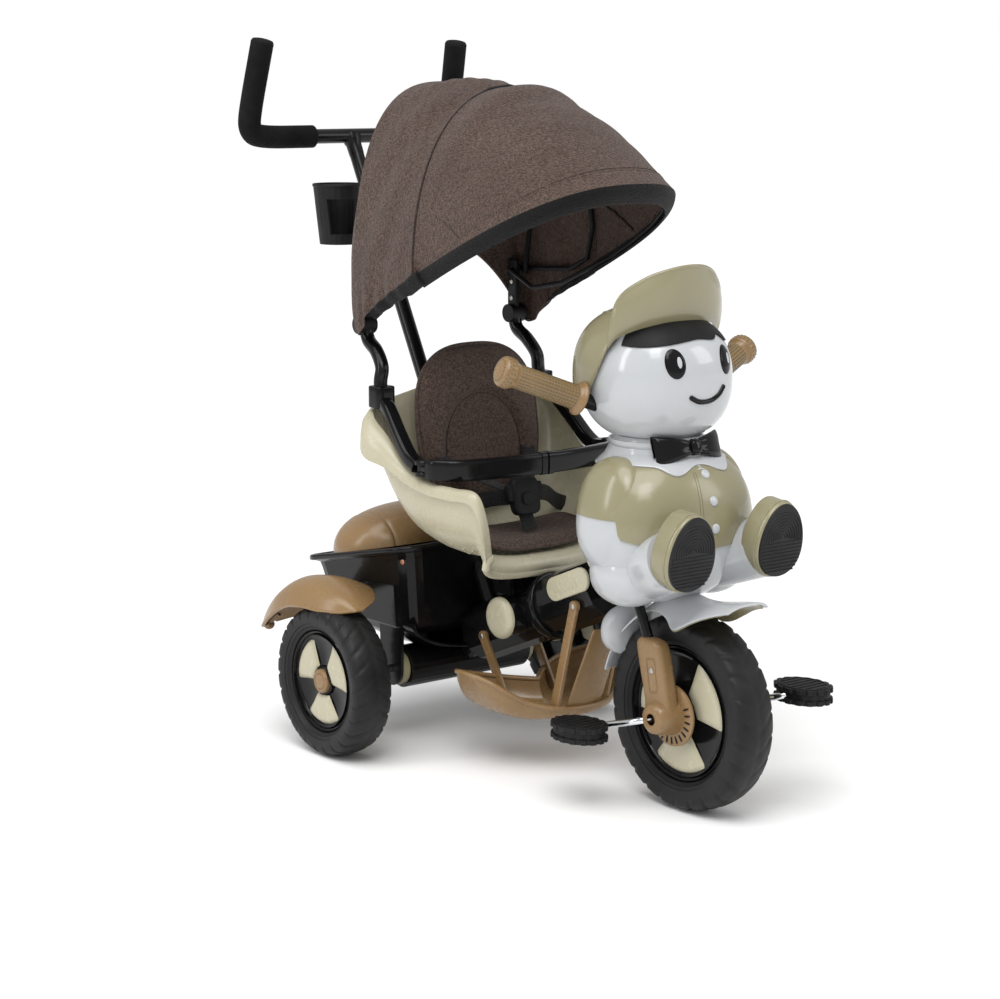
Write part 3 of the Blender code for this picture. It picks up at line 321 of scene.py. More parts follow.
def grid(rows, closed_across=False, closed_along=False):
    """Surface through rows of equal length."""
    rows = np.asarray(rows, float)
    count, across = rows.shape[:2]
    faces = []
    for i in range(count if closed_along else count - 1):
        for j in range(across if closed_across else across - 1):
            a, b = i * across + j, i * across + (j + 1) % across
            c, d = ((i + 1) % count) * across + (j + 1) % across, ((i + 1) % count) * across + j
            faces.append((a, b, c, d))
    return mesh_of(rows.reshape(-1, 3), faces)


def shell(rows, thickness, offset=0.0, round_edge=True, closed_across=False):
    """Sheet of even thickness on a grid of points, with a rounded edge."""
    steps = [("SOLIDIFY", dict(thickness=thickness, offset=offset))]
    if round_edge:
        bevel = dict(width=thickness * 0.42, segments=2, limit_method="ANGLE", angle_limit=math.radians(60))
        steps.append(("BEVEL", bevel))
    return with_modifiers(grid(rows, closed_across), *steps)


def curve_through(points, count):
    """Smooth curve through points, resampled at even parameter steps."""
    points = np.asarray([tuple(p) for p in points], float)
    padded = np.vstack([2 * points[0] - points[1], points, 2 * points[-1] - points[-2]])
    made = []
    for s in np.linspace(0.0, len(points) - 1.0, count):
        i = min(int(s), len(points) - 2)
        t = s - i
        p0, p1, p2, p3 = padded[i : i + 4]
        a = 2.0 * p1
        b = p2 - p0
        c = 2.0 * p0 - 5.0 * p1 + 4.0 * p2 - p3
        d = -p0 + 3.0 * p1 - 3.0 * p2 + p3
        made.append((a + b * t + c * t * t + d * t**3) / 2.0)
    return np.array(made)


def smooth_rows(rows, count_along, count_across):
    """Denser smooth grid through a coarse one."""
    rows = np.asarray(rows, float)
    across = [curve_through(row, count_across) for row in rows]
    columns = [curve_through([row[j] for row in across], count_along) for j in range(count_across)]
    return np.array(columns).transpose(1, 0, 2)


def frame_along(direction, up=(0.0, 0.0, 1.0)):
    """Rotation whose local Z runs along a direction, with local X as level as it can be."""
    z_axis = Vector(direction).normalized()
    x_axis = Vector(up).cross(z_axis)
    if x_axis.length < 1e-5:
        x_axis = Vector((1.0, 0.0, 0.0))
    x_axis.normalize()
    return Matrix((x_axis, z_axis.cross(x_axis), z_axis)).transposed().to_4x4()


def section(half_width, half_height, power=2.0, count=20):
    """Cross-section for a sweep: an ellipse for a power of 2, nearer a rectangle above that."""
    made = []
    for i in range(count):
        c, s = math.cos(math.tau * i / count), math.sin(math.tau * i / count)
        size = (abs(c) ** power + abs(s) ** power) ** (1.0 / power)
        made.append((half_width * c / size, half_height * s / size))
    return made


def sweep(path, outline, up=(0.0, 0.0, 1.0), closed=False):
    """Bar of one cross-section along a path, with flat capped ends."""
    path = [Vector(p) for p in path]
    rows = []
    for i, point in enumerate(path):
        before = path[i - 1] if closed or i else path[0]
        after = path[(i + 1) % len(path)] if closed or i < len(path) - 1 else path[-1]
        turn = frame_along(after - before, up)
        rows.append([tuple(point + turn @ Vector((x, y, 0.0))) for x, y in outline])
    mesh = grid(rows, closed_across=True, closed_along=closed)
    if closed:
        return mesh
    bm = bmesh.new()
    bm.from_mesh(mesh)
    bm.verts.ensure_lookup_table()
    across = len(outline)
    bm.faces.new([bm.verts[i] for i in range(across)])
    bm.faces.new([bm.verts[len(bm.verts) - across + i] for i in range(across)])
    bmesh.ops.recalc_face_normals(bm, faces=bm.faces)
    bm.to_mesh(mesh)
    bm.free()
    return mesh


def tube(path, radius, count=48, sides=16, up=(0.0, 0.0, 1.0)):
    """Round bar on a smooth curve through a path's points."""
    return sweep(curve_through(path, count), section(radius, radius, count=sides), up)


def cut_corners(points, times):
    """Path with its corners rounded by repeated corner cutting, and straight runs kept straight."""
    path = [Vector(point) for point in points]
    for _ in range(times):
        cut = [path[0]]
        for a, b in zip(path, path[1:]):
            cut += [a.lerp(b, 0.25), a.lerp(b, 0.75)]
        path = cut + [path[-1]]
    return path


def revolve(profile, centre, axis, steps=64, shape=None):
    """Turned piece: the profile lists (radius, height). shape(radius, height, angle) may move the points."""
    turn = Matrix.Translation(centre) @ frame_along(axis)

    def point(i, j):
        angle = math.tau * j / steps
        r, h = shape(*profile[i], angle) if shape else profile[i]
        return turn @ Vector((r * math.cos(angle), r * math.sin(angle), h))

    return grid(net(len(profile), steps, point), closed_across=True)


def slab(outline, thickness, matrix, bevel=0.0):
    """Flat piece with rounded edges: its outline is in local XY, its thickness centred on local Z."""
    bm = bmesh.new()
    verts = [bm.verts.new((x, y, -thickness / 2.0)) for x, y in outline]
    face = bm.faces.new(verts)
    lifted = bmesh.ops.extrude_face_region(bm, geom=[face])["geom"]
    top = [item for item in lifted if isinstance(item, bmesh.types.BMVert)]
    bmesh.ops.translate(bm, verts=top, vec=(0.0, 0.0, thickness))
    bmesh.ops.recalc_face_normals(bm, faces=bm.faces)
    mesh = bpy.data.meshes.new("slab")
    bm.to_mesh(mesh)
    bm.free()
    mesh.transform(matrix)
    if not bevel:
        return mesh
    settings = dict(width=bevel, segments=3, limit_method="ANGLE", angle_limit=math.radians(50))
    return with_modifiers(mesh, ("BEVEL", settings))


def oval(half_width, half_height, power=2.0, count=48):
    """Outline for a slab."""
    return section(half_width, half_height, power, count)


def super_point(direction, centre, radii, power):
    """Point of a rounded solid in a direction from its centre."""
    size = sum(abs(c) ** power for c in direction) ** (1.0 / power)
    return Vector(centre) + Vector([direction[i] / size * radii[i] for i in range(3)])


def blob(centre, radii, power=2.0, steps=(48, 28), keep=None):
    """Rounded solid. keep(point) moves or passes each point of its surface."""

    def place(i, j):
        polar, angle = math.pi * i / steps[1], math.tau * j / steps[0]
        ring = max(math.sin(polar), 1e-4)
        way = (ring * math.cos(angle), ring * math.sin(angle), math.cos(polar))
        point = super_point(way, centre, radii, power)
        return keep(point) if keep else point

    return grid(net(steps[1] + 1, steps[0], place), closed_across=True)


def side_plane(x):
    """Local X runs along +Y and local Y along +Z, at this X."""
    turn = Matrix(((0, 0, 1, 0), (1, 0, 0, 0), (0, 1, 0, 0), (0, 0, 0, 1)))
    return shift(x, 0.0, 0.0) @ turn


# Placing pieces --------------------------------------------------------------------------------------
def piece(name, mesh, look, body=None, replaces=(), sharp=40.0):
    """Puts a mesh, or a list of them, in the scene with its look, its body and the CAD nodes it replaces."""
    if isinstance(mesh, list):
        mesh = merged(*mesh)
    bm = bmesh.new()
    bm.from_mesh(mesh)
    bmesh.ops.remove_doubles(bm, verts=bm.verts, dist=1e-6)
    bmesh.ops.recalc_face_normals(bm, faces=bm.faces)
    bm.to_mesh(mesh)
    bm.free()
    obj = linked(name, mesh)
    mesh.materials.clear()
    mesh.materials.append(LOOKS[look][0])
    mesh.shade_smooth()
    mesh.set_sharp_from_angle(angle=math.radians(sharp))
    if replaces:
        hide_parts(*replaces)
    if body:
        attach(obj, body)
    return obj


def keep_node(name, look):
    """Gives a CAD node that stays its finished material."""
    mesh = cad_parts[name].data
    mesh.materials.clear()
    mesh.materials.append(LOOKS[look][0])


def screw_head(centre, axis, radius=0.0032):
    """Domed cross-head screw."""
    dome = [(0.0001, 0.0016), (radius * 0.6, 0.0014), (radius, 0.0004), (radius, -0.001)]
    turn = Matrix.Translation(centre) @ frame_along(axis)
    slots = []
    for spin in (0.0, math.pi / 2):
        at = turn @ shift(0, 0, 0.0015) @ turned(spin, "Z")
        slots.append(slab(oval(radius * 0.6, radius * 0.12, 6.0, 12), 0.0006, at))
    return merged(revolve(dome, centre, axis, 20), *slots)


# Wheels ----------------------------------------------------------------------------------------------
LUGS = 26


def tread(outer, half):
    """Presses slanted grooves into a tyre's tread, deeper towards its shoulders."""

    def shape(radius, height, angle):
        side = height / half
        share = abs(side)
        if radius < outer - 0.020:
            return radius, height
        slant = 2.4 * share + (0.6 if side > 0 else 0.0)
        wave = math.sin(LUGS * angle + slant * 2.2)
        groove = max(0.0, wave - 0.62) / 0.38
        depth = 0.0007 + 0.0015 * min(1.0, max(0.0, share - 0.25) / 0.45)
        fade = unit((radius - outer + 0.020) / 0.008)
        rib = 0.0012 * hump(share, 0.0, 0.10)
        return radius - depth * groove * fade - rib, height * (1.0 - 0.030 * groove * fade)

    return shape


def tyre_mesh(centre, sign, outer, seat):
    half = TYRE_HALF_WIDTH
    side = [
        (seat, 0.66),
        (seat + 0.0010, 0.76),
        (seat + 0.0050, 0.84),
        (seat + 0.0056, 0.885),
        (seat + 0.0095, 0.915),
        (seat + 0.0100, 0.955),
        (outer - 0.020, 0.985),
        (outer - 0.016, 1.0),
        (outer - 0.012, 0.990),
        (outer - 0.009, 0.960),
        (outer - 0.0062, 0.89),
        (outer - 0.0042, 0.80),
        (outer - 0.0028, 0.68),
        (outer - 0.0016, 0.52),
        (outer - 0.0008, 0.36),
        (outer - 0.0002, 0.20),
        (outer, 0.08),
    ]
    profile = [(r, half * x) for r, x in side] + [(r, -half * x) for r, x in reversed(side)]
    profile.append(profile[0])
    return revolve(profile, centre, (sign, 0, 0), LUGS * 14, tread(outer, half))


def windows_mesh(centre, axis, inner, outer, height, spin):
    """Three domed panels between the wheel's spokes."""
    turn = Matrix.Translation(centre) @ frame_along(axis)
    meshes = []
    for k in range(3):
        middle = spin + math.tau * k / 3.0

        def point(i, j):
            u, v = i / 14.0, -1.0 + 2.0 * j / 18.0
            dome = (1.0 - (2.0 * u - 1.0) ** 6) * (1.0 - v**6)
            radius = inner + (outer - inner) * u - 0.004 * (1.0 - v * v) * (1.0 - u)
            angle = middle + math.radians(35.0 + 2.0 * u) * v
            lift = height + 0.0042 * max(0.0, dome) ** 0.5 - 0.002
            return turn @ Vector((radius * math.cos(angle), radius * math.sin(angle), lift))

        meshes.append(grid(net(15, 19, point)))
    return merged(*meshes)


def spoke_dish(reach, base, dip, spin):
    """Hollows the web between the panels, so the spokes are concave."""

    def shape(radius, height, angle):
        if radius > reach or height < base - 0.001:
            return radius, height
        near = 0.5 - 0.5 * math.cos(3.0 * (angle - spin))
        return radius, height - dip * near * math.sin(math.pi * min(1.0, radius / reach)) ** 0.8

    return shape


def rim_mesh(centre, axis, seat, hub, hub_height, base, spin):
    """One face of a wheel: hub boss, dished web, deep well and flange."""
    edge = TYRE_HALF_WIDTH * 0.72
    reach = seat - 0.0098
    web = [(hub + 0.001 + (reach - hub - 0.001) * i / 12.0, base) for i in range(13)]
    profile = [
        (0.0001, hub_height),
        (hub * 0.86, hub_height),
        (hub * 0.97, hub_height - 0.0010),
        (hub, hub_height - 0.0030),
        (hub + 0.001, base + 0.0015),
        *web,
        (reach + 0.0012, base + 0.0016),
        (reach + 0.0030, base + 0.0020),
        (reach + 0.0036, base + 0.0060),
        (seat - 0.0060, edge - 0.0035),
        (seat - 0.0048, edge - 0.0006),
        (seat - 0.0020, edge + 0.0004),
        (seat - 0.0004, edge - 0.0010),
        (seat - 0.0004, 0.0),
    ]
    return revolve(profile, centre, axis, 144, spoke_dish(reach, base, 0.0045, spin))


def make_wheels():
    up_in_turn = {sign: frame_along((sign, 0, 0)).inverted() @ Vector((0, 0, 1)) for sign in SIDES.values()}
    spins = {sign: math.atan2(way.y, way.x) + math.pi for sign, way in up_in_turn.items()}
    for side, sign in SIDES.items():
        centre = Vector((sign * REAR_WHEEL_X, *REAR_AXLE.yz))
        body = f"rear_wheel_{side}"
        out, back = (sign, 0, 0), (-sign, 0, 0)
        tyre = tyre_mesh(centre, sign, REAR_TYRE_R, 0.0705)
        piece(f"tyre_rear_{side}", tyre, "rubber", body, [f"rear_tyre_{side}"])
        faces = [rim_mesh(centre, out, 0.0705, 0.020, 0.0205, 0.0172, spins[sign])]
        faces.append(rim_mesh(centre, back, 0.0705, 0.017, 0.0255, 0.0075, spins[-sign]))
        piece(f"rim_rear_{side}", faces, "black_gloss", body, [f"rear_rim_{side}"])
        panels = [windows_mesh(centre, out, 0.0225, 0.0600, 0.0182, spins[sign])]
        panels.append(windows_mesh(centre, back, 0.0245, 0.0555, 0.0085, spins[-sign]))
        piece(f"panels_rear_{side}", panels, "cream", body)
        cap = [(0.0001, 0.0238), (0.0095, 0.0238), (0.0105, 0.0228), (0.0115, 0.0238), (0.0150, 0.0232)]
        cap += [(0.0163, 0.0218), (0.0166, 0.0195), (0.0166, 0.0160)]
        piece(f"hub_cap_{side}", revolve(cap, centre, out, 64), "tan", body)

    tyre = tyre_mesh(FRONT_AXLE, 1.0, FRONT_TYRE_R, 0.0875)
    piece("tyre_front", tyre, "rubber", "front_wheel", ["front_tyre"])
    faces, panels = [], []
    for sign in SIDES.values():
        faces.append(rim_mesh(FRONT_AXLE, (sign, 0, 0), 0.0875, 0.024, 0.0270, 0.0172, spins[sign]))
        panels.append(windows_mesh(FRONT_AXLE, (sign, 0, 0), 0.0290, 0.0770, 0.0182, spins[sign]))
    piece("rim_front", faces, "black_gloss", "front_wheel", ["front_rim"])
    piece("panels_front", panels, "cream", "front_wheel")


def pedal_pin(sign):
    """End of the crank on one side, in the plane of the front wheel."""
    swing = Vector((0.0, math.cos(CRANK_DROP), math.sin(CRANK_DROP))) * CRANK_THROW
    return FRONT_AXLE + (swing if sign < 0 else -swing)


def make_cranks():
    near, far = pedal_pin(-1.0), pedal_pin(1.0)
    path = [
        (-0.1300, *near.yz),
        (-CRANK_X, *near.yz),
        (-CRANK_X, *FRONT_AXLE.yz),
        (CRANK_X, *FRONT_AXLE.yz),
        (CRANK_X, *far.yz),
        (0.1300, *far.yz),
    ]
    bar = sweep(cut_corners(path, 4), section(0.0045, 0.0045, count=20), (0.3, 0.2, 1.0))
    piece("crank", bar, "chrome", "front_wheel", ["crank_axle"])
    for side, sign in SIDES.items():
        make_pedal(side, Vector((sign * PEDAL_X, *pedal_pin(sign).yz)))


def make_pedal(side, centre):
    """Oval pedal with a toothed edge on both faces and slotted treads."""
    level = Matrix.Translation(centre) @ turned(math.radians(90), "Z")
    toothed = []
    for i in range(160):
        angle = math.tau * i / 160
        tooth = 1.0 if math.sin(16 * angle) > -0.2 else 0.935
        toothed.append((0.042 * tooth * math.cos(angle), 0.0325 * tooth * math.sin(angle)))
    core = slab(oval(0.0385, 0.0290), 0.0150, level, 0.002)
    parts = [core]
    for lift in (-0.0070, 0.0070):
        parts.append(slab(toothed, 0.0060, level @ shift(0, 0, lift), 0.0006))
        face = lift * 1.43
        for i in range(-3, 4):
            at = level @ shift(0.0095 * i, 0.0, face)
            length = 0.024 * math.sqrt(1.0 - (i / 4.4) ** 2)
            parts.append(slab(oval(0.0022, length, 5.0, 20), 0.0018, at, 0.0004))
        ring = [level @ Vector((0.0350 * math.cos(a), 0.0262 * math.sin(a), face)) for a in circle(60)]
        parts.append(sweep(ring, section(0.0016, 0.0012, 3.0, 8), closed=True))
    piece(f"pedal_body_{side}", parts, "black_matt", f"pedal_{side}", [f"pedal_{side}"])


# Fork and mudguard -----------------------------------------------------------------------------------
def make_fork():
    keep_node("fork", "black_paint")
    for side, sign in SIDES.items():
        make_fork_cover(side, sign)
    make_mudguard()


def make_mudguard():
    """Guard that flares into lobes over the tyre's front, with a khaki lining and a bulge behind."""

    def point(i, j, width=1.0, sink=0.0):
        t, s = i / 56.0, -1.0 + j / 14.0
        angle = math.radians(15.0 + 109.0 * t)
        radius = 0.134 + 0.054 * max(0.0, (t - 0.70) / 0.30) ** 1.6 + 0.017 * hump(t, 0.62, 0.17)
        widen = eased(unit((t - 0.62) / 0.20))
        half = 0.036 + 0.015 * widen - 0.017 * max(0.0, t - 0.88) / 0.12
        flap = 0.026 * abs(s) ** 2.6 * hump(t, 0.72, 0.19)
        r = radius - 0.007 * max(0.0, abs(s) - 0.35) ** 1.6 * widen - 0.004 * abs(s) ** 4 - flap - sink
        return s * half * width, FRONT_AXLE.y + r * math.cos(angle), FRONT_AXLE.z + r * math.sin(angle)

    piece("mudguard_top", shell(net(57, 29, point), 0.0030, 0.0), "white", "steering", ["mudguard"])
    lining = net(57, 29, lambda i, j: point(i, j, 0.96, 0.0022))[38:-1]
    piece("mudguard_lining", shell(lining, 0.0012, 0.0), "khaki", "steering")
    bulge = blob((0.0, -0.196, 0.214), (0.050, 0.024, 0.034), 2.3)
    piece("mudguard_rear", bulge, "white", "steering")


def make_fork_cover(side, sign):
    """Rounded leg cover with a screw in a recessed panel, a boss over the axle and a slotted disc."""
    outline = [
        (-0.306, 0.219),
        (-0.296, 0.2235),
        (-0.276, 0.2245),
        (-0.267, 0.221),
        (-0.265, 0.210),
        (-0.272, 0.180),
        (-0.280, 0.150),
        (-0.287, 0.120),
        (-0.329, 0.120),
        (-0.324, 0.150),
        (-0.318, 0.180),
        (-0.312, 0.205),
    ]
    smooth = curve_through([*outline, outline[0]], 60)[:-1]
    parts = [slab([tuple(p) for p in smooth], 0.0215, side_plane(sign * 0.0465), 0.0070)]
    boss = [(0.0075, 0.0685), (0.0150, 0.0685), (0.0185, 0.0660), (0.0205, 0.0600), (0.0235, 0.0500)]
    boss += [(0.0245, 0.0340), (0.0001, 0.0340)]
    hub = Vector((0.0, *FRONT_AXLE.yz))
    parts.append(revolve(boss, hub, (sign, 0, 0), 64))
    disc = [(0.0001, 0.0362), (0.0300, 0.0360), (0.0375, 0.0352), (0.0398, 0.0335), (0.0400, 0.0312)]
    parts.append(revolve(disc, hub, (sign, 0, 0), 96))
    panel_at = side_plane(sign * 0.0574) @ shift(-0.2965, 0.1790, 0.0) @ turned(-0.17, "Z")
    frame_path = [panel_at @ Vector((x, y, 0.0)) for x, y in oval(0.0075, 0.0210, 9.0, 60)]
    parts.append(sweep(frame_path, section(0.0010, 0.0010, count=8), (1, 0, 0), closed=True))
    piece(f"fork_shroud_{side}", parts, "tan", "steering", [f"fork_cover_{side}"])
    slots = []
    for i in range(15):
        angle = math.radians(-205.0 + 15.5 * i)
        way = Vector((0.0, math.cos(angle), math.sin(angle)))
        at = hub + Vector((sign * 0.0362, 0, 0)) + way * 0.0320
        turn = Matrix.Translation(at) @ frame_along((sign, 0, 0), way)
        slots.append(slab(oval(0.0011, 0.0048, 3.0, 16), 0.0009, turn))
    piece(f"disc_slots_{side}", slots, "black_matt", "steering")
    screw = screw_head(panel_at @ Vector((0.0, 0.006, sign * 0.0005)), (sign, 0, 0), 0.0040)
    piece(f"cover_screw_{side}", screw, "screw", "steering")


# Toy figure ------------------------------------------------------------------------------------------
def round_point(centre, radii, power, angle, z, grow):
    """Point of a rounded solid's surface at a height, at an angle round from its front towards +X."""
    radii = radii + Vector((grow, grow, grow))
    level = min(0.9999, abs(z - centre.z) / radii.z)
    share = (1.0 - level**power) ** (1.0 / power)
    s, c = math.sin(angle), math.cos(angle)
    size = (abs(s) ** power + abs(c) ** power) ** (1.0 / power)
    return Vector((radii.x * share * s / size, centre.y - radii.y * share * c / size, z))


def body_point(angle, z, grow):
    return round_point(BODY_CENTRE, BODY_RADII, BODY_POWER, angle, z, grow)


def head_point(angle, z, grow):
    return round_point(HEAD_CENTRE, HEAD_RADII, HEAD_POWER, angle, z, grow)


def front_of_head(x, z, grow=0.0):
    """Point of the face at this X and height."""
    radii = HEAD_RADII + Vector((grow, grow, grow))
    rest = 1.0 - abs(x / radii.x) ** HEAD_POWER - abs((z - HEAD_CENTRE.z) / radii.z) ** HEAD_POWER
    return Vector((x, HEAD_CENTRE.y - radii.y * max(rest, 1e-6) ** (1.0 / HEAD_POWER), z))


def patch(point, low, high, start, end, thickness, rows=28, columns=40):
    """Raised patch on a rounded body: low(angle) and high(angle) are its lower and upper edges."""

    def place(i, j):
        angle = math.radians(start + (end - start) * j / columns)
        return point(angle, low(angle) + (high(angle) - low(angle)) * i / rows)

    return shell(net(rows + 1, columns + 1, place), thickness, 0.0)


def make_figure_body():
    body = blob(BODY_CENTRE, BODY_RADII, BODY_POWER, (72, 48), keep=clear_of_beam)
    neck = [(0.0001, 0.474), (0.056, 0.474), (0.060, 0.470), (0.0615, 0.462), (0.068, 0.450), (0.080, 0.438)]
    parts = [body, revolve(neck, Vector((0.0, -0.240, 0.0)), (0, 0, 1), 72)]
    for sign in SIDES.values():
        hip = Vector((sign * 0.052, -0.270, 0.308))
        knee = Vector((sign * 0.071, -0.335, 0.330))
        ankle = Vector((sign * 0.0745, -0.354, 0.3375))
        parts.append(tube([hip, knee, ankle], 0.0385, 24, 48))
        seat_of_leg = (sign * 0.066, -0.262, 0.306)
        parts.append(blob(seat_of_leg, (0.0450, 0.0520, 0.0420), 2.2, keep=clear_of_beam))
    piece("figure_torso", parts, "white", "steering", ["figure_body"])

    def chest_hem(angle):
        turn = abs(math.degrees(angle))
        return 0.3540 - 0.0130 * math.cos(1.6 * angle) + 0.022 * unit((turn - 66.0) / 3.0)

    make_vest()
    for side, sign in SIDES.items():
        make_arm(side, sign)
    make_placket()
    collar = patch(collar_point, collar_edge, level(0.4700), -150, 150, 0.0026, 18, 120)
    piece("collar", collar, "white", "steering")
    make_bow_tie()


def level(z):
    """Edge of a patch that stays at one height."""
    return lambda angle: z


def chest_hem(angle):
    """Lower edge of the vest: it dips in the middle and steps up behind the arms."""
    turn = abs(math.degrees(angle))
    return 0.3540 - 0.0130 * math.cos(1.6 * angle) + 0.022 * unit((turn - 66.0) / 3.0)


def make_vest():
    vest = patch(lambda a, z: body_point(a, z, 0.0010), chest_hem, level(0.4560), -100, 100, 0.0022, 28, 90)
    piece("vest_front", vest, "khaki", "steering")
    back = []
    for ends in ((100, 150), (-150, -100)):
        back.append(patch(lambda a, z: body_point(a, z, 0.0006), level(0.361), level(0.4560), *ends, 0.0020))
    piece("vest_back", back, "khaki", "steering")


def make_arm(side, sign):
    """White forearm below a khaki sleeve that is a little wider."""
    settle = shift(sign * 0.0820, -0.2500, 0.3810) @ turned(-sign * 0.16, "Y")
    for part, radii, cuff_z, half, look in (
        ("forearm", (0.0360, 0.0540, 0.0710), 0.3802, -1.0, "white"),
        ("sleeve", (0.0370, 0.0550, 0.0720), 0.3800, 1.0, "khaki"),
    ):
        arm = blob((0, 0, 0), radii, BODY_POWER, (48, 40))
        arm.transform(settle)
        piece(f"{part}_{side}", half_of(arm, cuff_z, half), look, "steering")


def make_placket():
    """Two seams down the chest, drawn as thin dark lines of painted groove shade, and three domed buttons
    beside them.
    """
    lines = []
    for offset in (-0.0135, -0.0105):
        seam = [body_point(offset / 0.08, 0.344 + 0.092 * i / 30, 0.0019) for i in range(31)]
        lines.append(tube(seam, 0.00045, 60, 6))
    # the seams are painted groove shade: the darker khaki of the look "seam"
    piece("placket", lines, "seam", "steering")
    rim = [(0.0001, 0.0030), (0.0035, 0.0029), (0.0056, 0.0022), (0.0064, 0.0010), (0.0064, -0.002)]
    buttons = []
    for z in (0.432, 0.400, 0.366):
        at = body_point(0.030, z, 0.0016)
        out = (at - body_point(0.030, z, -0.02)).normalized() + Vector((0, 0, (z - BODY_CENTRE.z) * 9.0))
        buttons.append(revolve(rim, at, out, 32))
    piece("buttons", buttons, "white", "steering")


def collar_edge(angle):
    """Lower edge of the collar, with a point to either side of the bow tie."""
    return 0.4440 - 0.0110 * hump(abs(math.degrees(angle)), 24.0, 13.0)


def collar_point(angle, z):
    """Between the neck's side at the top and the body's surface below."""
    on_body = body_point(angle, min(z, 0.4605), 0.0030)
    neck = Vector((0.0625 * math.sin(angle), -0.240 - 0.0605 * math.cos(angle), z))
    return on_body.lerp(neck, eased(unit((z - 0.4470) / 0.0190)))


def clear_of_beam(point):
    """Flattens the figure's back, where the beam's head tube stands."""
    return Vector((point.x, min(point.y, -0.1755), point.z))


def half_of(mesh, z, side):
    """Keeps the part of a mesh above (1) or below (-1) a height, and closes the cut."""
    bm = bmesh.new()
    bm.from_mesh(mesh)
    bmesh.ops.remove_doubles(bm, verts=bm.verts, dist=1e-6)
    geometry = [*bm.verts, *bm.edges, *bm.faces]
    normal = (0.0, 0.0, -side)
    found = bmesh.ops.bisect_plane(bm, geom=geometry, plane_co=(0, 0, z), plane_no=normal, clear_outer=True)
    rim = [item for item in found["geom_cut"] if isinstance(item, bmesh.types.BMEdge)]
    bmesh.ops.holes_fill(bm, edges=rim)
    bm.to_mesh(mesh)
    bm.free()
    return mesh


def make_bow_tie():
    """Two pinched wings with soft folds, and a banded knot."""
    face = shift(0.0, -0.3060, 0.4640) @ turned(math.radians(72.0), "X")
    parts = []
    for sign in SIDES.values():

        def point(i, j):
            u, a = i / 24.0, math.tau * j / 40
            top, low = 0.0080 + 0.0130 * u**0.9, -0.0080 - 0.0120 * u**0.9
            across, out = math.cos(a), math.sin(a)
            y = (top + low) / 2.0 + (top - low) / 2.0 * math.copysign(abs(across) ** 0.8, across)
            fold = 1.0 - 0.35 * hump(across, 0.0, 0.30) * (1.0 - 0.6 * u)
            thick = (0.0040 + 0.0035 * math.sin(math.pi * min(1.0, u * 0.80))) * fold
            close = 1.0 if u < 0.92 else math.sqrt(max(0.0, 1.0 - ((u - 0.92) / 0.085) ** 2))
            depth = thick * close * math.copysign(abs(out) ** 0.7, out) - 0.015 * u * u
            return face @ Vector((sign * (0.004 + 0.050 * u), y, depth))

        parts.append(grid(net(25, 40, point), closed_across=True))
    knot = blob((0, 0, 0.0008), (0.0082, 0.0098, 0.0085), 3.2, (36, 24))
    knot.transform(face)
    parts.append(knot)
    for x in (-0.0028, 0.0028):
        loop = [face @ Vector((x, 0.0099 * math.cos(a), 0.0008 + 0.0086 * math.sin(a))) for a in circle(40)]
        parts.append(sweep(loop, section(0.0007, 0.0007, count=8), (1, 0, 0), closed=True))
    piece("bow", parts, "black_gloss", "steering", ["bow_tie"], 60)


def make_head():
    head = blob(HEAD_CENTRE, HEAD_RADII, HEAD_POWER, (80, 56))
    piece("head_shell", head, "white", "steering", ["figure_head"])

    def on_face(x, z, half_x, half_z, grow, bulge):
        """Domed oval on the face."""

        def point(i, j):
            r, a = i / 12.0, math.tau * j / 40
            lift = grow + bulge * math.sqrt(max(0.0, 1.0 - r * r))
            return front_of_head(x + half_x * r * math.cos(a), z + half_z * r * math.sin(a), lift)

        return grid(net(13, 40, point), closed_across=True)

    eyes, lights = [], []
    for sign in SIDES.values():
        eyes.append(on_face(sign * 0.0415, 0.5715, 0.0126, 0.0182, 0.0003, 0.0018))
        lights.append(on_face(sign * 0.0415 + 0.0035, 0.5735, 0.0029, 0.0068, 0.0022, 0.0006))
    piece("eyes", eyes, "black_gloss", "steering")
    piece("eye_lights", lights, "white", "steering")
    stroke = [(-0.0215, 0.5290), (-0.0110, 0.5240), (0.0, 0.5225), (0.0125, 0.5240), (0.0245, 0.5300)]
    stroke.append((0.0325, 0.5385))
    smile = tube([front_of_head(x, z, 0.0) for x, z in stroke], 0.0033, 48, 14)
    ends = [blob(front_of_head(x, z, 0.0), (0.0033, 0.0033, 0.0033), 2.0, (16, 10)) for x, z in stroke[::5]]
    piece("smile", [smile, *ends], "black_gloss", "steering")

    def hairline(angle):
        degrees = math.degrees(angle)
        notch = 0.008 * hump(degrees, 30.0, 7.0)
        return 0.5990 - 0.0080 * abs(math.sin(1.5 * angle)) ** 1.5 + notch

    hair = patch(lambda a, z: head_point(a, z, 0.0012), hairline, lambda a: 0.6215, -74, 74, 0.0018, 14, 90)
    piece("hair", hair, "black_matt", "steering")


BRIM_STAGES = [
    # the upturned brim from its root on the head to its edge, each from the side to the middle
    [
        (0.088, -0.242, 0.588), (0.083, -0.252, 0.601), (0.062, -0.268, 0.612),
        (0.033, -0.280, 0.618), (0, -0.284, 0.620),
    ],
    [
        (0.089, -0.244, 0.591), (0.085, -0.257, 0.610), (0.062, -0.276, 0.626),
        (0.032, -0.288, 0.634), (0, -0.292, 0.637),
    ],
    [
        (0.090, -0.246, 0.596), (0.086, -0.259, 0.630), (0.061, -0.279, 0.653),
        (0.031, -0.293, 0.664), (0, -0.298, 0.667),
    ],
    [
        (0.090, -0.247, 0.602), (0.084, -0.258, 0.648), (0.059, -0.276, 0.672),
        (0.030, -0.293, 0.684), (0, -0.301, 0.688),
    ],
]


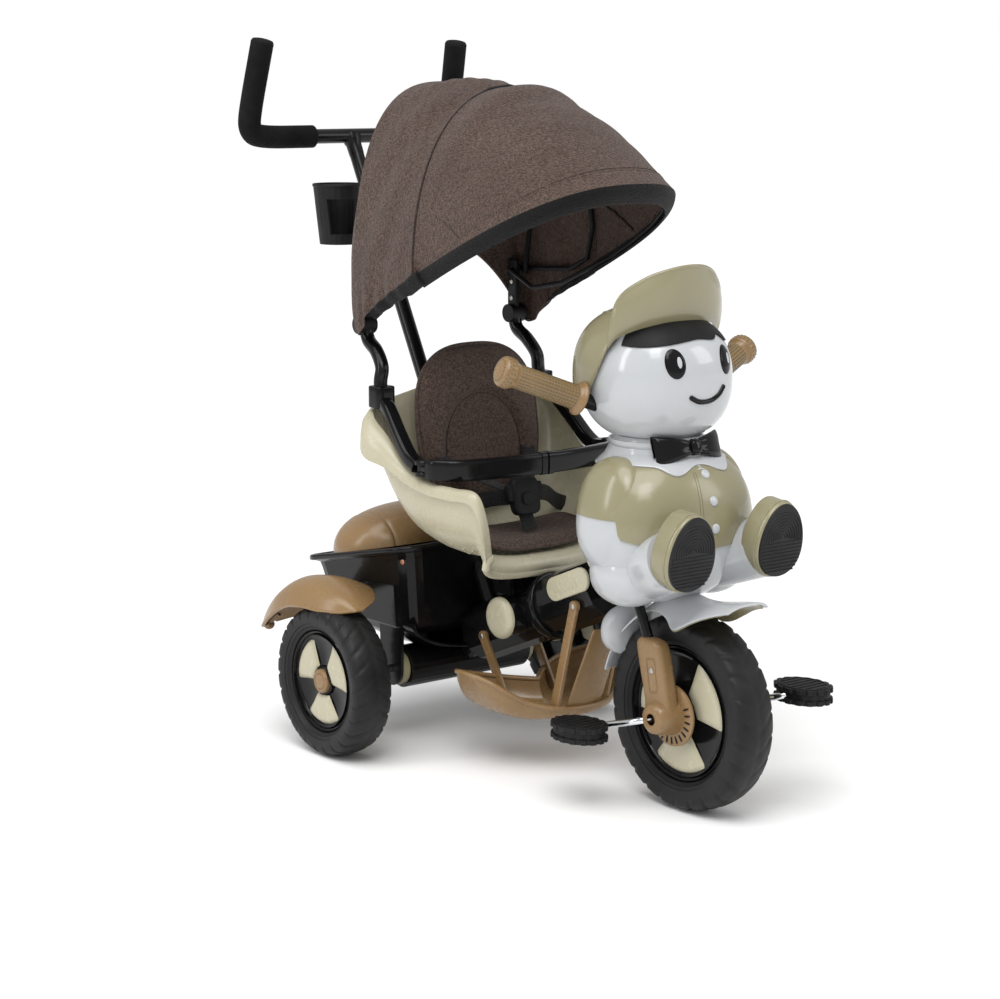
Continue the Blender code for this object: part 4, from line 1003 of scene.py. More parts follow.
def make_cap():
    """Crown over the back of the head, and a wide brim turned up in front."""
    centre = HEAD_CENTRE + Vector((0, 0.006, 0.004))
    radii = HEAD_RADII + Vector((0.006, 0.006, 0.007))
    tilt = math.radians(28.0)
    pole = Vector((0.0, math.cos(tilt), math.sin(tilt)))
    turn = frame_along(pole).to_3x3()

    def crown_point(i, j):
        angle = math.tau * j / 80
        polar = math.radians(0.01 + (88.0 - 14.0 * math.sin(angle) ** 2) * i / 29.0)
        ring = math.sin(polar)
        way = turn @ Vector((ring * math.cos(angle), ring * math.sin(angle), math.cos(polar)))
        point = super_point(way, centre, radii, HEAD_POWER)
        point.z = max(point.z, 0.5290)
        return point

    crown = shell(net(30, 80, crown_point), 0.0030, 1.0, closed_across=True)
    seams = []
    for lean in (-36.0, 0.0, 36.0):
        path = []
        for i in range(40):
            polar = math.radians(-2.0 + 84.0 * i / 39.0)
            aside = Vector((math.sin(math.radians(lean)), 0.0, math.cos(math.radians(lean))))
            aside = (aside - pole * aside.dot(pole)).normalized()
            way = pole * math.cos(polar) + aside * math.sin(polar)
            path.append(super_point(way, centre, radii + Vector((0.0002,) * 3), HEAD_POWER))
        seams.append(tube(path, 0.0008, 60, 8, (1, 0, 0)))
    stages = []
    for stage in BRIM_STAGES:
        mirrored = [(-x, y, z) for x, y, z in reversed(stage[:-1])]
        stages.append([*stage, *mirrored])
    rows = smooth_rows(stages, 24, 81)
    brim = shell(rows, 0.0040, 0.0)
    edge = tube([Vector(p) for p in rows[-1]], 0.0026, 120, 10)
    piece("cap", [crown, brim, edge, *seams], "khaki", "steering", ["figure_cap"], 50)


def make_shoes():
    """Rounded shoes whose black soles carry arcs above and straight ribs below."""
    for side, sign in SIDES.items():
        at = Matrix.Translation(SHOE_AT + Vector((sign * SHOE_X, 0, 0))) @ turned(SHOE_TURN, "X")
        outline = []
        for i in range(72):
            angle = math.tau * i / 72
            outline.append((0.0385 * math.cos(angle), 0.049 * math.sin(angle) - 0.004 * math.cos(2 * angle)))
        upper = slab(outline, 0.0330, at @ shift(0, 0, -0.0012), 0.0040)
        cuff = sweep([at @ Vector((x * 1.004, y * 1.004, 0.0080)) for x, y in outline],
                     section(0.0011, 0.0011, count=8), closed=True)
        piece(f"shoe_upper_{side}", [upper, cuff], "khaki", "steering", [f"shoe_{side}"])
        sole_outline = [(x * 0.955, y * 0.960) for x, y in outline]
        parts = [slab(sole_outline, 0.0050, at @ shift(0, 0, 0.0155), 0.0012)]
        face = 0.0181
        for k in range(1, 9):
            radius = 0.0040 * k
            arc = []
            for i in range(33):
                a = math.radians(-12.0 + 204.0 * i / 32.0)
                x, y = radius * math.cos(a), 0.008 + radius * math.sin(a)
                if (abs(x) / 0.0345) ** 2.2 + (abs(y + 0.001) / 0.0435) ** 2.2 < 1.0:
                    arc.append(at @ Vector((x, y, face)))
            if len(arc) > 3:
                parts.append(sweep(arc, section(0.0008, 0.0008, count=6), (0.1, 1, 0.2)))
        for k in range(9):
            y = 0.001 - 0.0046 * k
            half = 0.0345 * max(0.0, 1.0 - (abs(y) / 0.0455) ** 2.6) ** 0.5
            ends = [at @ Vector((x, y, face)) for x in (-half, -half / 3, half / 3, half)]
            parts.append(sweep(ends, section(0.0011, 0.0008, count=6)))
        piece(f"sole_{side}", parts, "rubber", "steering")


def grip_frame(sign):
    """Where a grip starts, which way it runs, and its length."""
    mirror = Vector((sign, 1.0, 1.0))
    along = (BAR_END - BAR_BEND).normalized()
    start = (BAR_BEND + along * GRIP_START) * mirror
    return start, along * mirror, (BAR_END - BAR_BEND).length - GRIP_START


def make_handlebar():
    half = [(0.0, -0.2175, 0.5050), (0.060, -0.2150, 0.5090), tuple(BAR_BEND), tuple(BAR_END)]
    path = [(-x, y, z) for x, y, z in reversed(half[1:])] + half
    bar = sweep(cut_corners(path, 4), section(TUBE_R, TUBE_R, count=24))
    piece("bar", bar, "black_paint", "steering", ["handlebar"])
    for side, sign in SIDES.items():
        start, along, length = grip_frame(sign)
        mesh = revolve(grip_profile(length), start, along, 6 * HOLES_ROUND, dimples(length))
        piece(f"hand_grip_{side}", mesh, "tan", "steering", [f"grip_{side}"], 70)
        turn = shift(*start) @ frame_along(along)
        # dark spots of painted shade over the grip's holes
        piece(f"grip_hole_shade_{side}", grip_hole_shade(turn, length), "seam", "steering")


def grip_profile(length):
    """Flange at the inner end, a waist that narrows from it, and a rounded cap, as (radius, height)."""
    profile = [(0.0150, -0.0002), (0.0212, 0.0), (0.0220, 0.0016), (0.0216, 0.0034), (0.0190, 0.0056)]
    for i in range(91):
        profile.append((GRIP_R + 0.0010 * math.exp(-i / 6.0), 0.0085 + (length - 0.0265) * i / 90.0))
    cap = [(0.0170, 0.0130), (0.0190, 0.0105), (0.0198, 0.0070), (0.0198, 0.0030), (0.0192, -0.0010)]
    cap += [(0.0175, -0.0038), (0.0145, -0.0055), (0.0100, -0.0066), (0.0050, -0.0070), (0.0001, -0.0071)]
    dense = curve_through([(radius, length - depth, 0.0) for radius, depth in cap], 46)
    return profile + [(float(radius), float(height)) for radius, height, _ in dense]


def grip_hole_shade(turn, length):
    """Dark spots of painted shade where the holes sink in: three rings round the cap, a grid over the waist,
    three rings on the end.
    """
    holes = []

    def ring(count, offset, radius, height, lean, outline, depth):
        for k in range(count):
            a = math.tau * (k + offset) / count
            at = turn @ shift(radius * math.cos(a), radius * math.sin(a), height)
            if lean is not None:
                at = at @ frame_along((math.cos(a), math.sin(a), lean))
            holes.append(slab(outline, depth, at))

    spot, square = oval(0.0011, 0.0011, 2.0, 12), oval(0.0012, 0.0012, 4.0, 8)
    for past, radius, lean in ((-0.0070, 0.0199, 0.0), (-0.0030, 0.0198, 0.0), (0.001, 0.0192, 0.5)):
        ring(HOLES_ROUND, lean, radius, length + past, lean, spot, 0.0006)
    for row in range(20):
        height = 0.0116 + HOLE_PITCH * row
        if height < length - 0.019:
            radius = GRIP_R + 0.0010 * math.exp(-(height - 0.0085) / 0.0056) + 0.0001
            ring(HOLES_ROUND, 0.25, radius, height, 0.0, square, 0.0005)
    for count, radius in ((6, 0.0045), (12, 0.0090), (18, 0.0135)):
        ring(count, 0.0, radius, length + 0.0066 - radius * 0.07, None, spot, 0.0010)
    return holes


def dimples(length):
    """Presses a grid of small square holes into a grip's middle."""

    def shape(radius, height, angle):
        if not 0.010 < height < length - 0.018:
            return radius, height
        around = math.sin(HOLES_ROUND * angle)
        along = math.sin(math.tau * height / HOLE_PITCH)
        return radius - 0.0011 * max(0.0, around) * max(0.0, along), height

    return shape


# Seat ------------------------------------------------------------------------------------------------
SEAT_STATIONS = [
    # centre y, centre z, half width, rim y, rim z
    (-0.018, 0.261, 0.120, -0.050, 0.296),
    (-0.024, 0.272, 0.138, -0.064, 0.345),
    (-0.012, 0.282, 0.148, -0.056, 0.384),
    (0.030, 0.280, 0.150, -0.010, 0.386),
    (0.075, 0.284, 0.150, 0.040, 0.387),
    (0.118, 0.300, 0.152, 0.088, 0.401),
    (0.147, 0.335, 0.155, 0.132, 0.438),
    (0.160, 0.390, 0.153, 0.168, 0.462),
    (0.170, 0.440, 0.128, 0.186, 0.476),
    (0.178, 0.492, 0.060, 0.181, 0.494),
]


def seat_point(station, t):
    """Point of the seat's inner surface: t runs from -1 at one rim to 1 at the other."""
    y, z, width, rim_y, rim_z = station
    phi = abs(t) * math.pi / 2
    across, rise = math.sin(phi), 1.0 - math.cos(phi)
    size = (across**3 + (1.0 - rise) ** 3) ** (1.0 / 3.0)
    share = 1.0 - (1.0 - rise) / size
    return (math.copysign(width * across / size, t), y + (rim_y - y) * share, z + (rim_z - z) * share)


def on_seat(rows, places, mirror, lift):
    """Path on the outside of the seat's shell through (station, column) places."""
    path = []
    for station, column in places:
        point = Vector(rows[station][70 - column if mirror else column])
        out = Vector((math.copysign(1.0, point.x), 0.0, -0.6)).normalized()
        path.append(point + out * (0.002 + lift))
    return path


def make_seat():
    stations = curve_through([(a, b, c) for a, b, c, _, _ in SEAT_STATIONS], 64)
    rims = curve_through([(d, e, 0.0) for _, _, _, d, e in SEAT_STATIONS], 64)
    dense = [(*centre, rim[0], rim[1]) for centre, rim in zip(stations, rims)]
    rows = []
    for index, station in enumerate(dense):
        row = [seat_point(station, -1.0 + j / 30.0) for j in range(61)]
        flare = 1.0 + 2.2 * hump(index, 46.0, 7.0)
        for sign, end in ((-1, row[0]), (1, row[-1])):
            roll = []
            for k in range(1, 6):
                a = math.radians(34.0 * k)
                x = end[0] + sign * 0.0060 * flare * (math.sin(a) if k < 3 else 1.0)
                z = end[2] + 0.0062 * flare * (math.cos(a) - 1.0) - 0.0004 * k
                roll.append((x, end[1] + 0.0006 * k, z))
            row = [*roll[::-1], *row] if sign < 0 else [*row, *roll]
        rows.append(row)
    parts = [shell(rows, 0.0040, 0.0)]
    front = [Vector(p) for p in rows[0]]
    parts.append(sweep(front, section(0.0060, 0.0048), (0, 1, 0)))
    for mirror in (False, True):
        for station in (13, 16, 19):
            rib = on_seat(rows, [(station, column) for column in (20, 21, 22)], mirror, 0.0008)
            parts.append(tube(rib, 0.0020, 12, 12))
    piece("seat_tub", parts, "cream", "frame", ["seat_shell"], 55)
    make_back_pad()
    make_seat_pad()
    make_belts()
    keep_node("seat_bracket", "black_gloss")


def cushion(half_width, half_height, power, crown, back, matrix, groove=None):
    """Padded form: crowned in front, gently rounded behind, pinched in at its piped edge."""
    around, rings = 120, 26
    rows = []
    for face, depth in ((1.0, crown), (-1.0, back)):
        for i in range(rings + 1):
            s = (i / rings) ** 0.8
            s = s if face > 0 else 1.0 - s
            row = []
            for x, y in section(half_width, half_height, power, around):
                pinch = 1.0 - 0.010 * math.cos(4.0 * math.atan2(y, x))
                px, py = x * s * pinch, y * s * pinch
                height = face * depth * (1.0 - s**5) ** 0.5
                if groove and face > 0:
                    height -= groove(px, py)
                row.append(tuple(matrix @ Vector((px, py, height))))
            rows.append(row)
    rim = section(half_width, half_height, power, 160)
    edge = [matrix @ Vector((x * 1.004, y * 1.004, 0.0)) for x, y in rim]
    return grid(rows, closed_across=True), sweep(edge, section(0.0028, 0.0028, count=10), closed=True)


def make_back_pad():
    """Back pad with a piped edge and a raised arched panel inside a sewn channel."""
    lean = shift(0.0, 0.1330, 0.4470) @ turned(math.radians(90.0 - 8.0), "X")

    def channel(x, y):
        if y < -0.035:
            ring = abs(x) / 0.0640
        else:
            ring = math.hypot(x / 0.0640, (y + 0.035) / 0.0740)
        dip = 0.0062 * hump(ring, 1.0, 0.090)
        return dip + 0.0034 * unit((1.0 - ring) / 0.14)

    body, piping = cushion(0.103, 0.107, 2.7, 0.0150, 0.0120, lean, channel)
    pad = piece("back_pad", body, "fabric", "frame", ["seat_back_pad"], 80)
    piece("back_pad_piping", piping, "fabric", "frame")
    arch = []
    for i in range(50):
        a = math.pi * i / 49
        arch.append((0.0640 * math.cos(a), -0.035 + 0.0740 * math.sin(a)))
    arch = [(0.0640, -0.075), *arch, (-0.0640, -0.075)]
    seam = [lean @ Vector((x, y, 0.0085)) for x, y in arch]
    piece("back_pad_seam", tube(seam, 0.0009, 140, 8, (0, 1, 0)), "dark_fabric", "frame")


def make_seat_pad():
    flat = shift(0.0, 0.0390, 0.2985) @ turned(math.radians(6.0), "X")
    body, piping = cushion(0.100, 0.0500, 4.0, 0.0100, 0.0085, flat)
    for mesh in (body, piping):
        for vertex in mesh.vertices:
            vertex.co.z += 0.0135 * abs(vertex.co.x / 0.100) ** 3
    pad = piece("seat_cushion", body, "fabric", "frame", ["seat_pad"], 80)
    piece("seat_cushion_piping", piping, "fabric", "frame")


def strap_mesh(path, width, thickness=0.0018, count=40):
    """Webbing whose width lies along X."""
    rows = []
    for point in curve_through(path, count):
        rows.append([(point[0] + s * width / 2.0, point[1], point[2]) for s in (-1, -0.5, 0, 0.5, 1)])
    return shell(rows, thickness)


def make_belts():
    """Shoulder and lap straps, the crotch strap, and the buckle where they meet."""
    parts = []
    for sign in SIDES.values():
        shoulder = [(0.076, 0.1230, 0.412), (0.072, 0.1090, 0.400), (0.045, 0.0780, 0.380)]
        shoulder.append((0.018, 0.0400, 0.364))
        parts.append(strap_mesh([(sign * x, y, z) for x, y, z in shoulder], 0.022))
        lap = [(0.1260, 0.0960, 0.322), (0.1050, 0.0900, 0.330), (0.075, 0.0700, 0.345)]
        lap += [(0.045, 0.0480, 0.354), (0.020, 0.0360, 0.356)]
        lap = [(sign * x, y, z) for x, y, z in lap]
        parts.append(sweep(curve_through(lap, 30), section(0.0010, 0.0110, 5.0)))
    parts.append(strap_mesh([(0, 0.034, 0.345), (0, 0.0230, 0.3240), (0, 0.0160, 0.3110)], 0.024))
    piece("belts", parts, "webbing", "frame", ["harness"])
    at = shift(0.0, 0.0300, 0.356) @ turned(math.radians(78.0), "X")
    shapes = [slab(oval(0.0225, 0.0260, 4.5), 0.0150, at, 0.0035)]
    shapes.append(slab(oval(0.0100, 0.0085, 3.0), 0.0040, at @ shift(0, -0.004, 0.0085), 0.0012))
    for sign in SIDES.values():
        tab = at @ shift(sign * 0.0240, 0.006, 0.0)
        shapes.append(slab(oval(0.0060, 0.0120, 4.0), 0.0100, tab, 0.0020))
    piece("buckle", shapes, "black_matt", "frame")


# Guard bar -------------------------------------------------------------------------------------------
def make_guard():
    """Chamfered side rails with square collars, and a front bar in two hinged halves."""
    x, y, z = GATE_CORNER
    knuckle = [(0.0001, 0.0030), (0.0100, 0.0030), (0.0115, 0.0015), (0.0115, -0.0028), (0.0001, -0.0030)]
    eye = [(0.0001, 0.0040), (0.0078, 0.0040), (0.0078, -0.0040), (0.0001, -0.0040)]
    for side, sign in SIDES.items():
        hinge_at = Vector((sign * x, y, z))
        rail = [
            (sign * 0.1395, 0.1640, 0.4830),
            (sign * 0.1440, 0.1440, 0.4740),
            (sign * 0.1500, 0.1150, 0.4480),
            (sign * x, 0.0850, 0.4200),
            (sign * x, y + 0.0110, z + 0.0005),
        ]
        arm = sweep(curve_through(rail, 60), section(0.0098, 0.0092, 4.0, 32))
        collar = slab(oval(0.0150, 0.0140, 5.0), 0.0300, shift(sign * 0.1388, 0.1670, 0.4890), 0.0025)
        parts = [arm, collar]
        for lift in (-0.0075, 0.0075):
            parts.append(revolve(knuckle, hinge_at + Vector((0, 0, lift)), (0, 0, 1), 32))
        piece(f"side_rail_{side}", parts, "black_gloss", "frame", [f"guard_rail_{side}"])
        path = [(x, y - 0.0125), (x - 0.003, 0.0250), (0.132, 0.0060), (0.100, -0.0040), (0.050, -0.0115)]
        path = [Vector((px * sign, py, z)) for px, py in [*path, (0.0012, -0.0140)]]
        bar = sweep(curve_through(path, 60), section(0.0080, 0.0142, 5.0, 36))
        hinge = revolve(eye, hinge_at, (0, 0, 1), 32)
        tongue = slab(oval(0.0072, 0.0100, 6.0), 0.0078, shift(sign * x, y - 0.0080, z), 0.001)
        joint = sweep([Vector((sign * 0.0012, -0.0140, z)), Vector((sign * 0.0100, -0.0137, z))],
                      section(0.0090, 0.0152, 5.0, 36))
        piece(f"front_bar_{side}", [bar, hinge, tongue, joint], "black_gloss", f"guard_bar_{side}",
              [f"guard_bar_{side}"])


# Canopy ----------------------------------------------------------------------------------------------
ACROSS = 97  # points in each row of its cloth
FRONT_BLEND = ("canopy_middle", "canopy_front", (0.0, 0.060, 0.80), (0.0, -0.170, 0.80))
REAR_BLEND = ("frame", "canopy_middle", (0.0, 0.200, 0.80), (0.0, 0.068, 0.80))


def arch_point(angle, width, height, power):
    """Point of an arch of this half-width and height, squarer for a higher power."""
    across, rise = math.cos(angle), math.sin(angle)
    size = (abs(across) ** power + rise**power) ** (1.0 / power)
    return width * across / size, height * rise / size


def trim_height(y):
    """Height of the canopy's sloping edge."""
    return 0.622 + (0.154 - y) * 0.465


def canopy_arch(y, count, inset=0.0):
    """Arch of the canopy between its middle and its rear bow, in the plane at this y."""
    share = (y - CANOPY_MID_Y) / (CANOPY_REAR_Y - CANOPY_MID_Y)
    foot = trim_height(CANOPY_MID_Y) * (1.0 - share) + 0.590 * share
    power = 2.1 + 0.7 * share
    row = []
    for i in range(count):
        angle = math.pi * i / (count - 1)
        valley = 0.013 * hump(share, 0.10, 0.16) * math.sin(angle) ** 2
        x, z = arch_point(angle, CANOPY_HALF - inset, CANOPY_TOP - inset - valley - foot, power)
        row.append(Vector((x, y, foot + z)))
    return row


def trim_row(count, inset=0.0, drop=0.0):
    """The canopy's front edge: a U in a sloping plane, from one side round the front to the other."""
    row = []
    for i in range(count):
        x, reach = arch_point(math.pi * i / (count - 1), 0.152 - inset, 0.260 - inset, 2.6)
        y = CANOPY_MID_Y - reach
        row.append(Vector((x, y, trim_height(y) - drop)))
    return row


def front_point(low, high, t, grow=0.0):
    """Point of the front section between its edge and the middle seam."""
    side = max(0.0, (high.z - 0.72) / 0.19)
    lift = 0.022 * math.sin(math.pi * t**1.15) * side + grow
    lift += 0.0110 * hump(t, 0.86, 0.09) * side
    point = low.lerp(high, t)
    ripple = 0.0009 * math.sin(34.0 * t + 60.0 * point.x) * math.sin(math.pi * t) ** 2
    return Vector((point.x * (1.0 + grow * 2.0), point.y - lift * 0.6, point.z + lift + ripple))


def front_rows(steps, first=0.0, last=1.0, grow=0.0):
    edge, arch = trim_row(ACROSS), canopy_arch(CANOPY_MID_Y - 0.0009, ACROSS)
    rows = []
    for i in range(steps + 1):
        t = first + (last - first) * i / steps
        rows.append([front_point(low, high, t, grow) for low, high in zip(edge, arch)])
    return rows


def rear_row(share):
    """Row of the rear section: slack between its bows, finely creased, and gathered at its skirt."""
    y = CANOPY_MID_Y + 0.0009 + (CANOPY_REAR_Y - CANOPY_MID_Y - 0.0009) * share
    row = []
    for j, point in enumerate(canopy_arch(y, ACROSS)):
        angle = math.pi * j / (ACROSS - 1)
        high = math.sin(angle)
        slack = 0.0020 * math.sin(math.pi * share) * high
        crease = 0.0007 * math.sin(37.0 * share + 21.0 * angle) * math.sin(math.pi * share) * high
        crease += 0.0015 * math.sin(11.0 * share - 13.0 * angle) * math.sin(math.pi * share)
        skirt = max(0.0, (0.665 - point.z) / 0.07)
        gather = 0.0034 * skirt * math.sin(34.0 * share) + 0.0060 * skirt * math.sin(9.0 * share + 1.0)
        out = math.copysign(1.0, point.x)
        point.x += out * (gather + crease - slack * (1.0 - high) * 0.8 - 0.006 * skirt * share)
        tail = unit((share - 0.70) / 0.25) * max(0.0, 1.0 - high / 0.25)
        point.z += -slack + crease + 0.006 * high**4 * math.sin(math.pi * share) ** 2 - 0.020 * tail
        row.append(point)
    return row


def flat_size(rows):
    """Size of the cloth in a grid of points: width across its rows, length along them, and area."""
    cells = np.array([[tuple(p) for p in row] for row in rows])
    across = np.linalg.norm(np.diff(cells, axis=1), axis=2).sum(axis=1)
    along = np.linalg.norm(np.diff(cells, axis=0), axis=2).sum(axis=0)
    near, far, left, right = cells[:-1, :-1], cells[1:, 1:], cells[1:, :-1], cells[:-1, 1:]
    first = np.cross(left - near, right - near)
    second = np.cross(left - far, right - far)
    area = (np.linalg.norm(first, axis=2).sum() + np.linalg.norm(second, axis=2).sum()) / 2.0
    return (float(across.max()), float(along.max())), float(area)


def cloth(name, rows, replaces, blend=None, body=None):
    """Sheet of stretched fabric on a grid of points."""
    made = piece(name, shell(rows, 0.0016, 0.0, round_edge=False), "fabric", body, replaces, 70)
    if blend:
        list(blend[:2])
        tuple(blend[2])
        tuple(blend[3])
        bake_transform(made)
    flat, area = flat_size(rows)
    min(area, flat[0] * flat[1])


def blended(name, mesh, look, blend):
    """Piece with its look, placed on no body."""
    made = piece(name, mesh, look, sharp=70)
    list(blend[:2])
    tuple(blend[2])
    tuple(blend[3])
    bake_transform(made)


def make_canopy():
    for side, sign in SIDES.items():
        pole = [(0.1388, 0.1670, 0.4800), (0.1380, 0.1705, 0.5080), (0.1350, 0.1710, 0.5280)]
        pole += [(0.1315, 0.1880, 0.5480), (0.1300, 0.2090, 0.5620), (0.1300, 0.2160, 0.5820)]
        bent = tube([(sign * x, y, z) for x, y, z in pole], TUBE_R, 60, 28, (1, 0, 0))
        piece(f"pole_{side}", bent, "black_paint", "frame", [f"canopy_pole_{side}"])
        keep_node(f"canopy_bracket_{side}", "black_matt")
    for bow in ("canopy_rear_bow", "canopy_middle_bow", "canopy_front_bow"):
        keep_node(bow, "black_matt")

    cloth("canopy_front", front_rows(40), ["canopy_front_fabric"], FRONT_BLEND)
    rear = [rear_row(i / 40.0) for i in range(41)]
    cloth("canopy_rear", rear, ["canopy_rear_fabric"], REAR_BLEND)

    make_back_panel(rear[-1])
    make_canopy_trim()
    make_canopy_seams(rear)
    make_canopy_arms()


def make_back_panel(arch):
    """Panel behind the rear bow, from its arch down to a scooped hem."""

    def point(i, j):
        t, angle = i / 24.0, math.pi * j / (ACROSS - 1)
        hem = Vector((0.1470 * math.cos(angle), 0.0, 0.572 + 0.123 * math.sin(angle) ** 1.4))
        at = Vector((arch[j].x, 0.0, arch[j].z)).lerp(hem, t)
        bulge = 0.036 * math.sin(math.pi / 2.0 * min(1.0, 1.7 * t)) * max(0.0, math.sin(angle)) ** 0.5
        fold = 0.0016 * math.sin(14.0 * angle + 5.0 * t) * math.sin(math.pi * t)
        return Vector((at.x, CANOPY_REAR_Y + bulge + fold, at.z))

    rows = net(25, ACROSS, point)
    cloth("canopy_back", rows, ["canopy_back_panel"], body="frame")
    hem = curve_through(rows[-1], 120)
    piece("canopy_back_hem", sweep(hem, section(0.0022, 0.0022, count=10), (0, 1, 0)), "fabric", "frame")


def make_canopy_trim():
    """Black binding that hangs from the canopy's front edge and runs back along its rear section."""
    outer, lower = trim_row(ACROSS, 0.0002), trim_row(ACROSS, 0.0120, 0.0190)

    def front(k, j):
        t = k / 8.0
        point = outer[j].lerp(lower[j], t)
        out = (point - Vector((0.0, 0.02, point.z))).normalized()
        return point + out * 0.0035 * math.sin(math.pi * t) + Vector((0, 0, 0.0008 * (1.0 - t)))

    blended("canopy_binding_front", shell(net(9, ACROSS, front), 0.0024, 0.0), "trim", FRONT_BLEND)
    meshes = []
    for end in (0, -1):
        edge = [rear_row(i / 20.0 * 0.80 - 0.06)[end] for i in range(21)]

        def rear(i, k):
            t, point = k / 6.0, edge[i]
            inward = 0.0120 * t - 0.0035 * math.sin(math.pi * t)
            drop = 0.0190 - 0.008 * (i / 20.0)
            x = point.x - math.copysign(1.0, point.x) * inward
            return x, point.y, point.z + 0.0008 - drop * t

        meshes.append(shell(net(21, 7, rear), 0.0024, 0.0))
    blended("canopy_binding_rear", meshes, "trim", REAR_BLEND)


def make_canopy_seams(rear):
    arch = canopy_arch(CANOPY_MID_Y, ACROSS, -0.0012)
    piping = sweep(arch, section(0.0017, 0.0017, count=10), (0, 1, 0))
    piece("canopy_piping", piping, "dark_fabric", "canopy_middle")
    hem = front_rows(1, 0.115, 0.120, 0.0009)[0]
    middle = hem[6:-6]
    stitches = []
    for i in range(0, len(middle) - 1):
        a, b = middle[i], middle[i + 1]
        for k in range(2):
            start, end = a.lerp(b, k / 2.0 + 0.06), a.lerp(b, k / 2.0 + 0.40)
            stitches.append(sweep([start, end], section(0.0005, 0.0005, count=6)))
    blended("canopy_hem_stitches", stitches, "dark_fabric", FRONT_BLEND)
    ridge = sweep(front_rows(1, 0.100, 0.105, 0.0004)[0][4:-4], section(0.0010, 0.0010, count=8))
    blended("canopy_hem_ridge", ridge, "fabric", FRONT_BLEND)
    sleeves = []
    for spread_at in (12, 24, 36, ACROSS - 37, ACROSS - 25, ACROSS - 13):
        path = [row[spread_at] + Vector((0, 0.003, -0.006)) for row in front_rows(12, 0.12, 0.92)]
        sleeves.append(tube(path, 0.0022, 40, 8))
    blended("canopy_sleeves", sleeves, "dark_fabric", FRONT_BLEND)
    dart = [rear[k][62 - k // 3] + Vector((0, 0, 0.0010)) for k in range(24, 37, 2)]
    blended("canopy_dart", tube(dart, 0.0009, 24, 8), "dark_fabric", REAR_BLEND)


def make_canopy_arms():
    """Knobs at the canopy's pivots, and the rivets through its brackets."""
    for side, sign in SIDES.items():
        knob = [(0.0001, 0.0040), (0.0050, 0.0040), (0.0062, 0.0030), (0.0105, 0.0026), (0.0128, 0.0010)]
        knob.append((0.0130, -0.0240))
        at = Vector((sign * 0.1425, 0.216, 0.5830))
        piece(f"canopy_knob_{side}", revolve(knob, at, (sign, 0, 0), 40), "black_matt", "frame")
        rivets = []
        for y, z in ((0.2175, 0.604), (0.2175, 0.628), (0.219, 0.646)):
            for face in (0.1262, 0.1338):
                way = -sign if face < 0.13 else sign
                rivets.append(screw_head(Vector((sign * face, y, z)), (way, 0, 0), 0.0034))
        piece(f"canopy_rivets_{side}", rivets, "screw", "frame")


# Push handle -----------------------------------------------------------------------------------------
def make_push_handle():
    """Tube with a welded crossbar, two upright foam grips and the lip of the cup holder."""
    top = POLE_TOP.z
    bar = [(0.1690, 0.4040, 0.9640), (0.1760, 0.4300, 0.8640), (0.1740, 0.4335, 0.8430)]
    bar += [(0.1600, 0.4340, top), (0.068, 0.434, top)]
    across = [Vector((-0.075, 0.434, top)), Vector((0.075, 0.434, top))]
    stalk = [POLE_FOOT - POLE_DIR * 0.030, POLE_FOOT + POLE_DIR * 0.3, POLE_TOP - POLE_DIR * 0.002]
    weld = [(0.0108, -0.030), (0.0112, -0.014), (0.0130, -0.010), (0.0142, 0.0)]
    parts = [sweep(path, section(POLE_R, POLE_R, count=32)) for path in (across, stalk)]
    parts.append(revolve(weld, POLE_TOP, POLE_DIR, 40))
    piece("handle_bar", parts, "black_paint", "push_handle", ["push_pole"])
    tip = [(0.0001, 0.0042), (0.0090, 0.0040), (0.0098, 0.0028), (0.0108, 0.0040), (0.0145, 0.0030)]
    tip.append((FOAM_R, 0.0))
    inner_end = [(0.0106, 0.0022), (0.0140, 0.0020), (FOAM_R, 0.0)]
    for side, sign in SIDES.items():
        path = cut_corners([Vector((x * sign, y, z)) for x, y, z in bar], 4)
        parts = [sweep(path, section(FOAM_R, FOAM_R, count=36))]
        parts.append(revolve(tip, path[0], (path[0] - path[1]).normalized(), 36))
        parts.append(revolve(inner_end, path[-1], (path[-1] - path[-2]).normalized(), 36))
        piece(f"foam_{side}", parts, "foam", "push_handle", [f"foam_grip_{side}"])
    keep_node("cup_holder", "black_matt")
    at = Vector((-0.0530, 0.3900, 0.680))
    lip = [at + Vector((0.0360 * math.cos(a), 0.0360 * math.sin(a), 0.0840)) for a in circle(60)]
    piece("cup_lip", sweep(lip, section(0.0018, 0.0024, 2.5, 12), closed=True), "black_matt", "push_handle")
    keep_node("handle_socket", "black_gloss")


